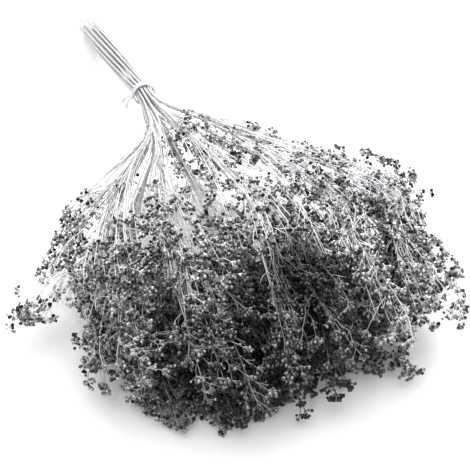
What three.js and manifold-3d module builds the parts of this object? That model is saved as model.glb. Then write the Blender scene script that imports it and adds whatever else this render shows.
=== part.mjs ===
// A bunch of dried broom bloom, coloured silver, lying on its side.
// The cut stems point to +Y, the flower heads to -Y, and the heads rest on z = 0.
// Lengths are millimetres. Each spray is one grown piece, with its stem, branches,
// twigs and seed capsules in one solid. A cord tie holds the stems together.
import * as THREE from 'three';
import { mergeVertices } from 'three/addons/utils/BufferGeometryUtils.js';
import Module from 'manifold-3d';

// The whole bunch
const TIE_Y = 71.84;
const AXIS_X = 7.69;
const TIE_HEIGHT = 52;
const HANDLE_LENGTH = 198;
const HEAD_LENGTH = 338;
const HEAD_HALF_HEIGHT = 47;

// The handle of cut stems
const HANDLE_SWELL = 3.6;
const SWELL_RUN = 0.8;
const HANDLE_TWIST = 0.7;
const CUT_END_HEIGHT = 7.2;
const CUT_END_BEND = 0.9;
const SHORTEST_CUT = 0.8;
const UNDERSIDE = -0.75;

// The head, with its reach to the left and to the right of its axis, as [run past the tie, reach]
const LEFT_EDGE = [
  [0, 7.25], [10, 7.7], [25, 9.5], [60, 20], [96, 62],
  [117, 84], [160, 111], [197, 127], [250, 140], [345, 141],
];
const RIGHT_EDGE = [
  [0, 7.25], [10, 7.9], [25, 13], [60, 44], [90, 72],
  [150, 131], [190, 156], [230, 165], [265, 152], [345, 147],
];
const RIGHT_LIFT = 9;
const LIFT_RUN = 240;
const ARCH_START = 20;
const ARCH_REACH = 362;
const ARCH_POWER = 1.2;
const LANDING = 165;
const SHORTEST_TIP = 0.94;
const LEFT_ROUNDING = 0.26;
const LEFT_ROUNDING_POWER = 2.5;
const RIGHT_ROUNDING = 0.135;
const RIGHT_ROUNDING_POWER = 9;

// How the stems pack in the tie, as shares of the bunch's half width there
const PACK_RADIUS = 7.25;
const CENTRE_WALL = 0.25;
const INNER_RING = { count: 7, seat: 0.48, headSeat: 0.46, wall: 0.68, turn: 0.2 };
const OUTER_RING = { count: 13, seat: 0.9, headSeat: 0.78, wall: 1.0, turn: 0.0 };

// The wing, which is the sprays of the left side that spread past the rest up to where it ends
const WING_SIDE = -0.9;
const WING_REACH = 1.4;
const WING_NARROWS = 195;
const WING_ENDS = 225;
const WING_BIAS = 0.8;
const WING_TWIG_LENGTH = 1.35;

// Stems, branches and twigs
const STEM_RADIUS = 1.25;
const STEM_TOP_RADIUS = 0.75;
const STEM_SIDES = 4;
const BRANCH_RADIUS = 0.85;
const TWIG_RADIUS = 0.6;
const BRANCH_ROOT_RADIUS = 0.4;
const SIDE_ROOT_RADIUS = 0.2;
const TWIG_BEND = 0.7;
const TWIG_SIDES = 3;
const LEADER = { segments: 4, longest: 90, whorls: [2, 3] };
const BRANCH = { segments: 3, longest: 75, whorls: [2] };
const TWIG = { segments: 1, longest: 30, whorls: [] };
const SIDE_FORK = 0.4;
const TWIG_ROOM = 1.5;
const FORWARD_BIAS = 0.85;
const DRAWS = 12;
const SAMPLE_SHARES = [0.25, 0.5, 0.75, 1];
const NECK_STATIONS = [32, 54, 76];
const STATION_GAP = 10;
const STEM_SHARE = 0.76;
const STEM_SPREADS = 25;
const STEM_SETTLES = 170;
const STEM_WANDER = 0.175;
const SLOWEST_SWAY = 0.02;
const SWAY_SPREAD = 0.012;
const STEM_REST_HEIGHT = 0.75;
const NEAR_AXIS = 0.05;

// Where branches and twigs fork and end
const BRANCHES_OUTER = 5;
const BRANCHES_INNER = 3;
const FIRST_REACH_OUTER = 112;
const FIRST_REACH_INNER = 172;
const BRANCH_JITTER = 0.7;
const SHORTEST_BRANCH_RUN = 35;
const BRANCH_RUN_SPREAD = 15;
const LEADER_RUN = 4;
const SHORTEST_TWIG_RUN = 14;
const TWIG_RUN_SPREAD = 12;

// Seed capsules and the clusters that they stand in
const CAPSULE_RADIUS = 2.1;
const CAPSULE_STALK = 4.0;
const CAPSULE_TIP = 2.0;
const CLUSTER_RADIUS = 6.2;
const CLUSTER_REST_HEIGHT = 3.2;
const KNUCKLE_RADIUS = 0.95;
const KNUCKLE_LENGTH = 1.1;
const SIDE_TILT = 1.05;
const LOW_TILT = 1.85;
const SMALLEST_CAPSULE = 0.85;
const LARGEST_CAPSULE = 1.15;
const MOST_LOW_CAPSULES = 1.7;

// The cord tie
const TIE_SPAN = 14;
const TIE_INNER_RADIUS = 8.8;
const TIE_CORD_RADIUS = 1.0;
const TIE_TURNS = 3;
const TIE_SIDES = 14;
const RIB_HEIGHT = 0.75;
const KNOT_RADIUS = 2.9;
const KNOT_STAND_OFF = 1;
const TAIL_LENGTH = 13;
const TAIL_RADII = [0.9, 0.9, 0.8];
const TAIL_SIDES = 5;
const TAIL_OUTWARD = 0.7;
const TAIL_SPREAD = 0.4;
const TAIL_GAP = 0.5;
const TAIL_RISE = 0.25;
const TAIL_FALL = 0.75;

const SEED = 7919;
const GROUND_DEPTH = 60;
const WELD_DISTANCE = 1e-4;
const SPRAY_FINISH = { color: 0x8d9196, metalness: 0.6, roughness: 0.4 };
const TIE_FINISH = { color: 0xe4dfe8, metalness: 0, roughness: 0.9 };

const wasm = await Module();
wasm.setup();

/** Random numbers between 0 and 1 from a seed. */
function makeRandom(seed) {
  let state = seed >>> 0;
  return () => {
    state = (state + 0x6d2b79f5) >>> 0;
    let bits = Math.imul(state ^ (state >>> 15), state | 1);
    bits ^= bits + Math.imul(bits ^ (bits >>> 7), bits | 61);
    return ((bits ^ (bits >>> 14)) >>> 0) / 4294967296;
  };
}

/** The value at x on a smooth curve through a list of [x, value] knots. */
function alongCurve(knots, x) {
  const last = knots.length - 1;
  const slope = (index) => {
    const before = knots[Math.max(index - 1, 0)];
    const after = knots[Math.min(index + 1, last)];
    return (after[1] - before[1]) / (after[0] - before[0]);
  };
  let index = 0;
  while (index < last - 1 && knots[index + 1][0] < x) {
    index += 1;
  }
  const [start, low] = knots[index];
  const [end, high] = knots[index + 1];
  const span = end - start;
  const t = THREE.MathUtils.clamp((x - start) / span, 0, 1);
  const rise = t * t * (3 - 2 * t);
  const leaving = t * (1 - t) ** 2 * span * slope(index);
  const arriving = t * t * (t - 1) * span * slope(index + 1);
  return low + (high - low) * rise + leaving + arriving;
}

/** The bunch's reach to its left and right, half height and centre height, s mm past the tie. */
function crossSection(s) {
  if (s < 0) {
    const back = -s / HANDLE_LENGTH;
    const swell = Math.sin(Math.PI * Math.min(back, 1) * SWELL_RUN);
    return {
      left: PACK_RADIUS + HANDLE_SWELL * swell,
      right: PACK_RADIUS + HANDLE_SWELL * swell,
      halfHeight: PACK_RADIUS,
      centre: TIE_HEIGHT - (TIE_HEIGHT - CUT_END_HEIGHT) * back ** CUT_END_BEND,
      twist: HANDLE_TWIST * back,
      lift: 0,
    };
  }
  const run = Math.hypot(s, ARCH_START) - ARCH_START;
  const arch = Math.sin(Math.PI * Math.min(1, run / ARCH_REACH)) ** ARCH_POWER;
  const halfHeight = PACK_RADIUS + (HEAD_HALF_HEIGHT - PACK_RADIUS) * arch;
  const drop = THREE.MathUtils.smoothstep(s, 0, LANDING);
  return {
    left: alongCurve(LEFT_EDGE, s),
    right: alongCurve(RIGHT_EDGE, s),
    halfHeight,
    centre: halfHeight + (TIE_HEIGHT - PACK_RADIUS) * (1 - drop),
    twist: 0,
    lift: RIGHT_LIFT * THREE.MathUtils.smoothstep(s, 0, LIFT_RUN),
  };
}

/** How far from the tie the head ends, where across is -1 at its left edge and 1 at its right. */
function headEnd(across) {
  const side = Math.min(1, Math.abs(across));
  const rounding = across < 0
    ? LEFT_ROUNDING * side ** LEFT_ROUNDING_POWER
    : RIGHT_ROUNDING * side ** RIGHT_ROUNDING_POWER;
  return HEAD_LENGTH * (1 - rounding);
}

/** The point at a share out from the bunch's axis, an angle round it and s mm past the tie. */
function place(out, angle, s, lowest) {
  const { left, right, halfHeight, centre, twist, lift } = crossSection(s);
  const across = out * Math.cos(angle + twist);
  const raised = out * Math.sin(angle + twist);
  const x = AXIS_X + (across < 0 ? left : right) * across;
  const z = centre + halfHeight * raised + lift * across;
  return new THREE.Vector3(x, TIE_Y - s, Math.max(z, lowest));
}

/** Where each spray stands in the tie, and the walls of the cell that it keeps to. */
function spraySeats() {
  const seats = [
    {
      name: 'spray_centre',
      out: 0,
      headOut: 0,
      angle: 0,
      halfAngle: Math.PI,
      low: 0,
      high: CENTRE_WALL,
      isOuter: false,
      isWing: false,
    },
  ];
  const rings = [
    { ...INNER_RING, label: 'inner', low: CENTRE_WALL },
    { ...OUTER_RING, label: 'outer', low: INNER_RING.wall },
  ];
  for (const ring of rings) {
    for (let slot = 0; slot < ring.count; slot += 1) {
      const angle = ring.turn + (2 * Math.PI * slot) / ring.count;
      const isOuter = ring.label === 'outer';
      seats.push({
        name: `spray_${ring.label}_${slot + 1}`,
        out: ring.seat,
        headOut: ring.headSeat,
        angle,
        halfAngle: Math.PI / ring.count,
        low: ring.low,
        high: ring.wall,
        isOuter,
        isWing: isOuter && Math.cos(angle) < WING_SIDE,
      });
    }
  }
  return seats;
}

/** How much of the wing there is, s mm past the tie. */
function wingShare(s) {
  return 1 - THREE.MathUtils.smoothstep(s, WING_NARROWS, WING_ENDS);
}

/** The place in a spray's cell at the given shares across and out, clear of its walls by a margin. */
function placeInCell(seat, shareAcross, shareOut, s, margin) {
  const { left, right, halfHeight } = crossSection(s);
  const width = Math.cos(seat.angle) < 0 ? left : right;
  const outward = Math.hypot(width * Math.sin(seat.angle), halfHeight * Math.cos(seat.angle));
  const sideways = Math.hypot(width * Math.cos(seat.angle), halfHeight * Math.sin(seat.angle));
  const outMargin = (margin * outward) / (width * halfHeight);
  const wing = seat.isWing ? wingShare(s) : 0;
  const wall = THREE.MathUtils.lerp(seat.high, WING_REACH, wing);
  const low = Math.min(seat.low + (seat.low > 0 ? outMargin : 0), seat.headOut);
  const high = Math.max(wall - (wall < 1 ? outMargin : 0), seat.headOut);
  const out = THREE.MathUtils.lerp(low, high, THREE.MathUtils.lerp(WING_BIAS * wing, 1, shareOut));
  const sine = (margin * sideways) / (Math.max(out, NEAR_AXIS) * width * halfHeight);
  const turnMargin = seat.halfAngle < Math.PI ? Math.asin(Math.min(1, sine)) : 0;
  const turn = Math.max(0, seat.halfAngle - turnMargin);
  return { out, angle: seat.angle + turn * (2 * shareAcross - 1) };
}

/** The main stem's place, s mm past the tie. It wanders a little within its cell. */
function stemPlace(seat, wander, s) {
  const grow = THREE.MathUtils.smoothstep(s, STEM_SPREADS, STEM_SETTLES);
  const sway = Math.sin(s * wander.rate + wander.phase) - Math.sin(wander.phase);
  const turn = seat.halfAngle < Math.PI ? STEM_WANDER * seat.halfAngle * sway * grow : 0;
  return { out: THREE.MathUtils.lerp(seat.out, seat.headOut, grow), angle: seat.angle + turn };
}

/** Collects the points and triangles of one closed surface. */
class Surface {
  constructor() {
    this.points = [];
    this.triangles = [];
  }

  addPoint(point) {
    this.points.push(point.clone());
    return this.points.length - 1;
  }

  addRing(centre, across, up, radius, sides, turn = 0) {
    const ring = [];
    for (let side = 0; side < sides; side += 1) {
      const angle = turn + (2 * Math.PI * side) / sides;
      const point = centre.clone();
      point.addScaledVector(across, radius * Math.cos(angle));
      point.addScaledVector(up, radius * Math.sin(angle));
      ring.push(this.addPoint(point));
    }
    return ring;
  }

  joinRings(lower, upper) {
    for (let side = 0; side < lower.length; side += 1) {
      const next = (side + 1) % lower.length;
      this.triangles.push([lower[side], lower[next], upper[next]]);
      this.triangles.push([lower[side], upper[next], upper[side]]);
    }
  }

  closeStart(ring) {
    for (let side = 1; side < ring.length - 1; side += 1) {
      this.triangles.push([ring[0], ring[side + 1], ring[side]]);
    }
  }

  closeEnd(ring) {
    for (let side = 1; side < ring.length - 1; side += 1) {
      this.triangles.push([ring[0], ring[side], ring[side + 1]]);
    }
  }

  toSolid() {
    const positions = new Float32Array(this.points.flatMap((point) => point.toArray()));
    const triVerts = new Uint32Array(this.triangles.flat());
    return new wasm.Manifold(new wasm.Mesh({ numProp: 3, vertProperties: positions, triVerts }));
  }
}

/** Axes square to a path at each of its points, carried along it without twisting. */
function pathFrames(path) {
  const frames = [];
  let across = new THREE.Vector3(1, 0, 0);
  for (let index = 0; index < path.length; index += 1) {
    const before = path[Math.max(index - 1, 0)];
    const after = path[Math.min(index + 1, path.length - 1)];
    const along = after.clone().sub(before).normalize();
    across = across.clone().addScaledVector(along, -across.dot(along)).normalize();
    const up = along.clone().cross(across);
    frames.push({ along, across, up });
  }
  return frames;
}

/** Starts a surface with a tube along a path, closed at its root and open at its tip. */
function startTube(path, radii, sides) {
  const surface = new Surface();
  const frames = pathFrames(path);
  let last = null;
  path.forEach((point, index) => {
    const { across, up } = frames[index];
    const ring = surface.addRing(point, across, up, radii[index], sides);
    if (last) {
      surface.joinRings(last, ring);
    } else {
      surface.closeStart(ring);
    }
    last = ring;
  });
  return { surface, ring: last, frame: frames[frames.length - 1] };
}

/** Draws one triangle of a knuckle out into a capsule on its stalk. */
function growCapsule(surface, triangle, direction, size) {
  const root = new THREE.Vector3();
  for (const corner of triangle) {
    root.addScaledVector(surface.points[corner], 1 / 3);
  }
  const belly = root.clone().addScaledVector(direction, CAPSULE_STALK * size);
  const outward = triangle.map((corner) => {
    const spoke = surface.points[corner].clone().sub(root);
    spoke.addScaledVector(direction, -spoke.dot(direction));
    return spoke;
  });
  const across = outward[0].clone().normalize();
  const up = direction.clone().cross(across);
  const ring = surface.addRing(belly, across, up, CAPSULE_RADIUS * size, 3);
  const apex = surface.addPoint(belly.addScaledVector(direction, CAPSULE_TIP * size));
  surface.joinRings(triangle, ring);
  for (let side = 0; side < 3; side += 1) {
    surface.triangles.push([ring[side], ring[(side + 1) % 3], apex]);
  }
}

/** Swells a three-sided tube's end into a knuckle with capsules round it, and gives its far ring. */
function growKnuckle(tube, lowCapsules, random) {
  const { surface, ring, frame } = tube;
  const { along, across, up } = frame;
  const middle = new THREE.Vector3();
  for (const corner of ring) {
    middle.addScaledVector(surface.points[corner], 1 / 3);
  }
  middle.addScaledVector(along, KNUCKLE_LENGTH);
  const crown = surface.addRing(middle, across, up, KNUCKLE_RADIUS, 3, tube.turn + Math.PI / 3);
  const spread = (angle, tilt) => {
    const direction = along.clone().multiplyScalar(Math.cos(tilt));
    direction.addScaledVector(across, Math.sin(tilt) * Math.cos(angle));
    direction.addScaledVector(up, Math.sin(tilt) * Math.sin(angle));
    return direction.normalize();
  };
  for (let side = 0; side < 3; side += 1) {
    const angle = tube.turn + (2 * Math.PI * side) / 3;
    const high = [ring[side], crown[side], crown[(side + 2) % 3]];
    growCapsule(surface, high, spread(angle, SIDE_TILT), capsuleSize(random));
    const low = [ring[side], ring[(side + 1) % 3], crown[side]];
    if (side < lowCapsules) {
      growCapsule(surface, low, spread(angle + Math.PI / 3, LOW_TILT), capsuleSize(random));
    } else {
      surface.triangles.push(low);
    }
  }
  return crown;
}

/** How large one capsule is beside the usual one. */
function capsuleSize(random) {
  return SMALLEST_CAPSULE + (LARGEST_CAPSULE - SMALLEST_CAPSULE) * random();
}

/** The place at a share along a twig, which leaves its fork steeply and then bends forward. */
function placeOnTwig(from, to, share) {
  const bend = share ** TWIG_BEND;
  return {
    out: THREE.MathUtils.lerp(from.out, to.out, bend),
    angle: THREE.MathUtils.lerp(from.angle, to.angle, bend),
    s: THREE.MathUtils.lerp(from.s, to.s, share),
  };
}

/** The centre line of a twig between two places in a spray. */
function twigPath(from, to, segments) {
  const path = [];
  for (let step = 0; step <= segments; step += 1) {
    const share = step / segments;
    const { out, angle, s } = placeOnTwig(from, to, share);
    const lowest = THREE.MathUtils.lerp(STEM_REST_HEIGHT, CLUSTER_REST_HEIGHT, share);
    path.push(place(out, angle, s, lowest));
  }
  return path;
}

/** Points along a path's straight stretches. */
function samplePath(path) {
  const points = [];
  for (let index = 1; index < path.length; index += 1) {
    for (const share of SAMPLE_SHARES) {
      points.push(path[index - 1].clone().lerp(path[index], share));
    }
  }
  return points;
}

/** How far a new twig stays from the twigs and clusters that its spray already has. */
function twigClearance(twig, grown) {
  const between = (centres, points, reach) => {
    const gaps = centres.flatMap((centre) => points.map((point) => centre.distanceTo(point)));
    return Math.min(...gaps) - reach;
  };
  let least = Infinity;
  for (const other of grown) {
    least = Math.min(
      least,
      between(twig.clusters, other.clusters, 2 * CLUSTER_RADIUS),
      between(twig.clusters, samplePath(other.path), CLUSTER_RADIUS),
      between(other.clusters, samplePath(twig.path), CLUSTER_RADIUS),
    );
  }
  return least;
}

/** A three-sided twig, with a whorl of capsules at some of its points and a cluster at its tip. */
function growTwig(twig, rootRadius, random) {
  const { path, whorls } = twig;
  const frames = pathFrames(path);
  const surface = new Surface();
  let turn = 0;
  let last = null;
  path.forEach((point, index) => {
    const { across, up } = frames[index];
    const share = index / (path.length - 1);
    const radius = index === 0 ? rootRadius : THREE.MathUtils.lerp(BRANCH_RADIUS, TWIG_RADIUS, share);
    const ring = surface.addRing(point, across, up, radius, TWIG_SIDES, turn);
    if (last) {
      surface.joinRings(last, ring);
    } else {
      surface.closeStart(ring);
    }
    last = ring;
    if (whorls.includes(index)) {
      last = growKnuckle({ surface, ring, frame: frames[index], turn }, 0, random);
      turn += Math.PI / 3;
    }
  });
  const frame = frames[frames.length - 1];
  const lowCapsules = Math.floor(MOST_LOW_CAPSULES * random() ** 2 + 0.5);
  const crown = growKnuckle({ surface, ring: last, frame, turn }, lowCapsules, random);
  growCapsule(surface, crown, frame.along, capsuleSize(random));
  return surface.toSolid();
}

/** The clearest of several drawn twigs from one fork, none longer than the longest allowed. */
function drawTwig(seat, fork, reachS, form, grown, random) {
  const longest = form.longest * (seat.isWing ? WING_TWIG_LENGTH : 1);
  let best = null;
  for (let draw = 0; draw < DRAWS; draw += 1) {
    const end = { ...placeInCell(seat, random(), random(), reachS, CLUSTER_RADIUS), s: reachS };
    const straight = twigPath(fork, end, 1);
    const share = Math.min(1, longest / straight[0].distanceTo(straight[1]));
    end.out = THREE.MathUtils.lerp(fork.out, end.out, share);
    end.angle = THREE.MathUtils.lerp(fork.angle, end.angle, share);
    const path = twigPath(fork, end, form.segments);
    const clusters = [...form.whorls.map((index) => path[index]), path[path.length - 1]];
    const twig = { path, clusters, whorls: form.whorls, fork, end };
    twig.clearance = twigClearance(twig, grown);
    if (best === null || twig.clearance > best.clearance) {
      best = twig;
    }
  }
  return best;
}

/** One spray: a cut stem that forks into branches, with a cluster on every branch and twig. */
function makeSpray(seat, number) {
  const random = makeRandom(SEED + number);
  const cut = SHORTEST_CUT + (1 - SHORTEST_CUT) * random();
  const reachesCut = seat.isOuter && Math.sin(seat.angle + HANDLE_TWIST) < UNDERSIDE;
  const cutEnd = -HANDLE_LENGTH * (reachesCut ? 1 : cut);
  const wander = { rate: SLOWEST_SWAY + SWAY_SPREAD * random(), phase: 2 * Math.PI * random() };
  const longestTip = headEnd(seat.out * Math.cos(seat.angle));
  const tipEnd = longestTip * (SHORTEST_TIP + (1 - SHORTEST_TIP) * random());
  const stemEnd = tipEnd * STEM_SHARE;

  const pieces = [];
  const grown = [];
  const forks = [];

  const branches = seat.isOuter ? BRANCHES_OUTER : BRANCHES_INNER;
  const first = seat.isOuter ? FIRST_REACH_OUTER : FIRST_REACH_INNER;
  const last = stemEnd - LEADER_RUN;
  const offset = random();
  for (let branch = 0; branch < branches; branch += 1) {
    const isLeader = branch === branches - 1;
    const step = ((branch + offset * BRANCH_JITTER) / branches) ** FORWARD_BIAS;
    const reachS = isLeader ? tipEnd : first + (tipEnd - first) * step;
    const run = isLeader ? 0 : SHORTEST_BRANCH_RUN + BRANCH_RUN_SPREAD * random();
    const forkS = isLeader ? last : Math.min(reachS - run, last);
    const fork = { ...stemPlace(seat, wander, forkS), s: forkS };
    forks.push(forkS);
    const twig = drawTwig(seat, fork, reachS, isLeader ? LEADER : BRANCH, grown, random);
    grown.push(twig);
    pieces.push(growTwig(twig, BRANCH_ROOT_RADIUS, random));

    const sideFork = placeOnTwig(fork, twig.end, SIDE_FORK);
    const sideRun = SHORTEST_TWIG_RUN + TWIG_RUN_SPREAD * random();
    const sideReach = Math.min(sideFork.s + sideRun, tipEnd);
    const side = drawTwig(seat, sideFork, sideReach, TWIG, grown, random);
    if (side.clearance > TWIG_ROOM) {
      grown.push(side);
      pieces.push(growTwig(side, SIDE_ROOT_RADIUS, random));
    }
  }

  forks.sort((one, other) => one - other);
  const stations = [cutEnd, cutEnd / 2, -TIE_SPAN / 2, TIE_SPAN / 2];
  stations.push(...NECK_STATIONS.filter((s) => s < forks[0] - STATION_GAP), ...forks, stemEnd);
  const stemPath = stations.map((s) => {
    const spot = stemPlace(seat, wander, s);
    return place(spot.out, spot.angle, s, STEM_REST_HEIGHT);
  });
  const radii = stations.map((s) => {
    const taper = Math.max(0, s) / stemEnd;
    return THREE.MathUtils.lerp(STEM_RADIUS, STEM_TOP_RADIUS, taper);
  });
  const stem = startTube(stemPath, radii, STEM_SIDES);
  stem.surface.closeEnd(stem.ring);
  pieces.push(stem.surface.toSolid());
  return wasm.Manifold.union(pieces);
}

/** A solid from a closed three.js geometry. */
function solidFrom(geometry) {
  const bare = geometry.clone();
  bare.deleteAttribute('normal');
  bare.deleteAttribute('uv');
  const merged = mergeVertices(bare, WELD_DISTANCE);
  const vertProperties = new Float32Array(merged.attributes.position.array);
  const triVerts = new Uint32Array(merged.index.array);
  return new wasm.Manifold(new wasm.Mesh({ numProp: 3, vertProperties, triVerts }));
}

/** Everything below the surface that the bunch lies on. */
function makeGround() {
  const size = 4 * HEAD_LENGTH;
  const block = new THREE.BoxGeometry(size, size, GROUND_DEPTH);
  return solidFrom(block.translate(0, 0, -GROUND_DEPTH / 2));
}

/** The cord wound round the packed stems, as one ribbed band with its knot and two tails. */
function makeTie() {
  const outline = [];
  const width = 2 * TIE_CORD_RADIUS * TIE_TURNS;
  const outer = TIE_INNER_RADIUS + TIE_CORD_RADIUS;
  outline.push(new THREE.Vector2(TIE_INNER_RADIUS, -width / 2));
  for (let turn = 0; turn < TIE_TURNS; turn += 1) {
    const start = -width / 2 + 2 * TIE_CORD_RADIUS * turn;
    outline.push(new THREE.Vector2(outer, start));
    outline.push(new THREE.Vector2(outer + RIB_HEIGHT * TIE_CORD_RADIUS, start + TIE_CORD_RADIUS));
  }
  outline.push(new THREE.Vector2(outer, width / 2));
  outline.push(new THREE.Vector2(TIE_INNER_RADIUS, width / 2));
  outline.push(outline[0].clone());
  const band = solidFrom(new THREE.LatheGeometry(outline, TIE_SIDES));
  const knotPlace = new THREE.Vector3(-outer - KNOT_STAND_OFF, 0, 0);
  const knot = solidFrom(new THREE.IcosahedronGeometry(KNOT_RADIUS, 0).translate(...knotPlace));
  const tails = [-1, 1].map((side) => {
    const reach = [0, 0.5, 1].map((share) => {
      const point = knotPlace.clone();
      const run = TAIL_LENGTH * share;
      point.x -= run * TAIL_OUTWARD;
      point.y += side * (run * TAIL_SPREAD + TAIL_GAP);
      point.z += run * (TAIL_RISE - TAIL_FALL * share);
      return point;
    });
    const tail = startTube(reach, TAIL_RADII, TAIL_SIDES);
    tail.surface.closeEnd(tail.ring);
    return tail.surface.toSolid();
  });
  return wasm.Manifold.union([band, knot, ...tails]);
}

/** A named mesh from a solid. */
function makeMesh(name, solid, finish) {
  const found = solid.getMesh();
  const geometry = new THREE.BufferGeometry();
  geometry.setAttribute('position', new THREE.BufferAttribute(found.vertProperties, 3));
  geometry.setIndex(new THREE.BufferAttribute(found.triVerts, 1));
  geometry.computeVertexNormals();
  const material = new THREE.MeshStandardMaterial({ ...finish, flatShading: true });
  const mesh = new THREE.Mesh(geometry, material);
  mesh.name = name;
  return mesh;
}

/** The largest of a solid's separate pieces. */
function largestPiece(solid) {
  const pieces = solid.decompose();
  return pieces.reduce((best, piece) => (piece.volume() > best.volume() ? piece : best));
}

const bunch = new THREE.Group();
const ground = makeGround();
spraySeats().forEach((seat, number) => {
  const spray = largestPiece(makeSpray(seat, number).subtract(ground));
  bunch.add(makeMesh(seat.name, spray, SPRAY_FINISH));
});

const tie = makeMesh('tie', makeTie(), TIE_FINISH);
const tieBack = place(0, 0, -TIE_SPAN / 2, 0);
const tieFront = place(0, 0, TIE_SPAN / 2, 0);
tie.position.copy(tieBack).lerp(tieFront, 0.5);
tie.rotation.x = Math.atan2(tieBack.z - tieFront.z, TIE_SPAN);
bunch.add(tie);

export default bunch;
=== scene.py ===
"""A tied bunch of dried broom bloom, coloured silver, lying on a pale floor.

The bunch keeps the form of its solids: each spray follows the same stem and forks, and is dressed with
finer branches, twigs, pedicels and seed capsules. Lengths are millimetres until they reach a mesh.
"""

from __future__ import annotations

import logging
import math
from dataclasses import dataclass, field, replace
from enum import Enum

import bpy
import numpy as np
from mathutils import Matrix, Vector

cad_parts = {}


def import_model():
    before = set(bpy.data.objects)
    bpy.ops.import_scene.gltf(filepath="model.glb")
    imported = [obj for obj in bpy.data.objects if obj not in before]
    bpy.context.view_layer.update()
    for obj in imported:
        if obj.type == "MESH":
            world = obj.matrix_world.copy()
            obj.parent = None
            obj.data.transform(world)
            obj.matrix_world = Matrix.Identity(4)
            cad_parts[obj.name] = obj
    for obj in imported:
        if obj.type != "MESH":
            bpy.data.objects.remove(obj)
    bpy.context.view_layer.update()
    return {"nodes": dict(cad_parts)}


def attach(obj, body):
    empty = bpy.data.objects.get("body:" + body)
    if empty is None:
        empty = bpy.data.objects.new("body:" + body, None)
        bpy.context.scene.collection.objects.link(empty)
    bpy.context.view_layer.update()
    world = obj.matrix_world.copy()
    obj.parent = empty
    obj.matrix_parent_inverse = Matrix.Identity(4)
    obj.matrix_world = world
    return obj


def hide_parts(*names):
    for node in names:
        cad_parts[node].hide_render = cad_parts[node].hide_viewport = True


LOG = logging.getLogger("broom_bloom")
MM = 0.001
GOLDEN_ANGLE = math.pi * (3 - math.sqrt(5))
TINY = 1e-6
LEAST_LENGTH = 1e-9
NEARLY_UPRIGHT = 0.9
WORD_MASK = 0xFFFFFFFF
OPENED_SHARE = 0.5
STALK_SHADE = 0.75
CAPSULE_SHADE_BETA = (0.85, 1.15)

Span = tuple[float, float]
Colour = tuple[float, float, float]


class Grade(Enum):
    """What a point of a spray's network belongs to."""

    STEM = 0
    BRANCH = 1
    TWIG = 2
    CAPSULE = 3


class CapsuleForm(Enum):
    """The two forms of seed capsule."""

    CLOSED = 0
    OPENED = 1


class SeededRandom:
    """Random numbers between 0 and 1 from a whole-number seed."""

    def __init__(self, seed: int) -> None:
        """Keeps the seed."""
        self.state = seed & WORD_MASK

    def __call__(self) -> float:
        """The next number.

        Returns:
            A number from 0 up to 1.
        """
        self.state = (self.state + 0x6D2B79F5) & WORD_MASK
        bits = self.state
        bits = ((bits ^ (bits >> 15)) * (bits | 1)) & WORD_MASK
        bits ^= (bits + (((bits ^ (bits >> 7)) * (bits | 61)) & WORD_MASK)) & WORD_MASK
        return ((bits ^ (bits >> 14)) & WORD_MASK) / (WORD_MASK + 1)


def smoothstep(value: np.ndarray | float, low: float, high: float) -> np.ndarray:
    """A smooth rise from 0 to 1 between two values."""
    share = np.clip((np.asarray(value, float) - low) / (high - low), 0.0, 1.0)
    return share * share * (3 - 2 * share)


def swelling(value: np.ndarray) -> np.ndarray:
    """A smooth rise from 0 at -1 to 1 at 0, and back to 0 at 1."""
    return 1 - smoothstep(np.abs(value), 0.0, 1.0)


def lerp(start: float, end: float, share: float) -> float:
    """The value at a share of the way from start to end."""
    return start + (end - start) * share


@dataclass(frozen=True)
class Swell:
    """A smooth rise to some height about a middle value, and back to 0 a width away from it."""

    middle: float
    width: float
    height: float

    def at(self, value: np.ndarray) -> np.ndarray:
        """The height at each value."""
        return self.height * swelling((value - self.middle) / self.width)


@dataclass
class Place:
    """A place in the bunch: a share out from its axis, an angle round it and a run past the tie."""

    out: float
    angle: float
    s: float


@dataclass(frozen=True)
class EdgeCurve:
    """A smooth curve through a list of knots, each a run past the tie and a reach there."""

    knots: tuple[tuple[float, float], ...]

    def at(self, s: np.ndarray) -> np.ndarray:
        """The reach at each run past the tie."""
        runs = np.array([knot[0] for knot in self.knots], float)
        reaches = np.array([knot[1] for knot in self.knots], float)
        order = np.arange(len(runs))
        before = np.maximum(order - 1, 0)
        after = np.minimum(order + 1, len(runs) - 1)
        slopes = (reaches[after] - reaches[before]) / (runs[after] - runs[before])
        index = np.clip(np.searchsorted(runs, s, side="left") - 1, 0, len(runs) - 2)
        span = runs[index + 1] - runs[index]
        t = np.clip((s - runs[index]) / span, 0.0, 1.0)
        rise = t * t * (3 - 2 * t)
        leaving = t * (1 - t) ** 2 * span * slopes[index]
        arriving = t * t * (t - 1) * span * slopes[index + 1]
        return reaches[index] + (reaches[index + 1] - reaches[index]) * rise + leaving + arriving


@dataclass(frozen=True)
class Section:
    """The bunch's cross-section at some run past the tie."""

    left: np.ndarray
    right: np.ndarray
    half_height: np.ndarray
    centre: np.ndarray
    twist: np.ndarray
    lift: np.ndarray


@dataclass(frozen=True)
class Reach:
    """How far out from the bunch's axis a branch's twigs may stand: a share, and its factor in the wing."""

    share: float
    wing: float = 1.0
    early_swell: float = 0.4
    early_run: Span = (105.0, 150.0)
    wing_end: Span = (192.0, 210.0)

    def at(self, s: np.ndarray) -> np.ndarray:
        """The share at each run past the tie."""
        in_wing = 1 - smoothstep(s, *self.wing_end)
        early = 1 - smoothstep(s, *self.early_run)
        return self.share * (1 + (self.wing - 1) * in_wing * (1 + self.early_swell * early))


@dataclass(frozen=True)
class Standing:
    """Where points stand in their cross-sections, as shares of the bunch's reach there."""

    section: Section
    width: np.ndarray
    across: np.ndarray
    raised: np.ndarray

    def out(self) -> np.ndarray:
        """How far out from the bunch's axis the points are."""
        return np.hypot(self.across, self.raised)


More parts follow.
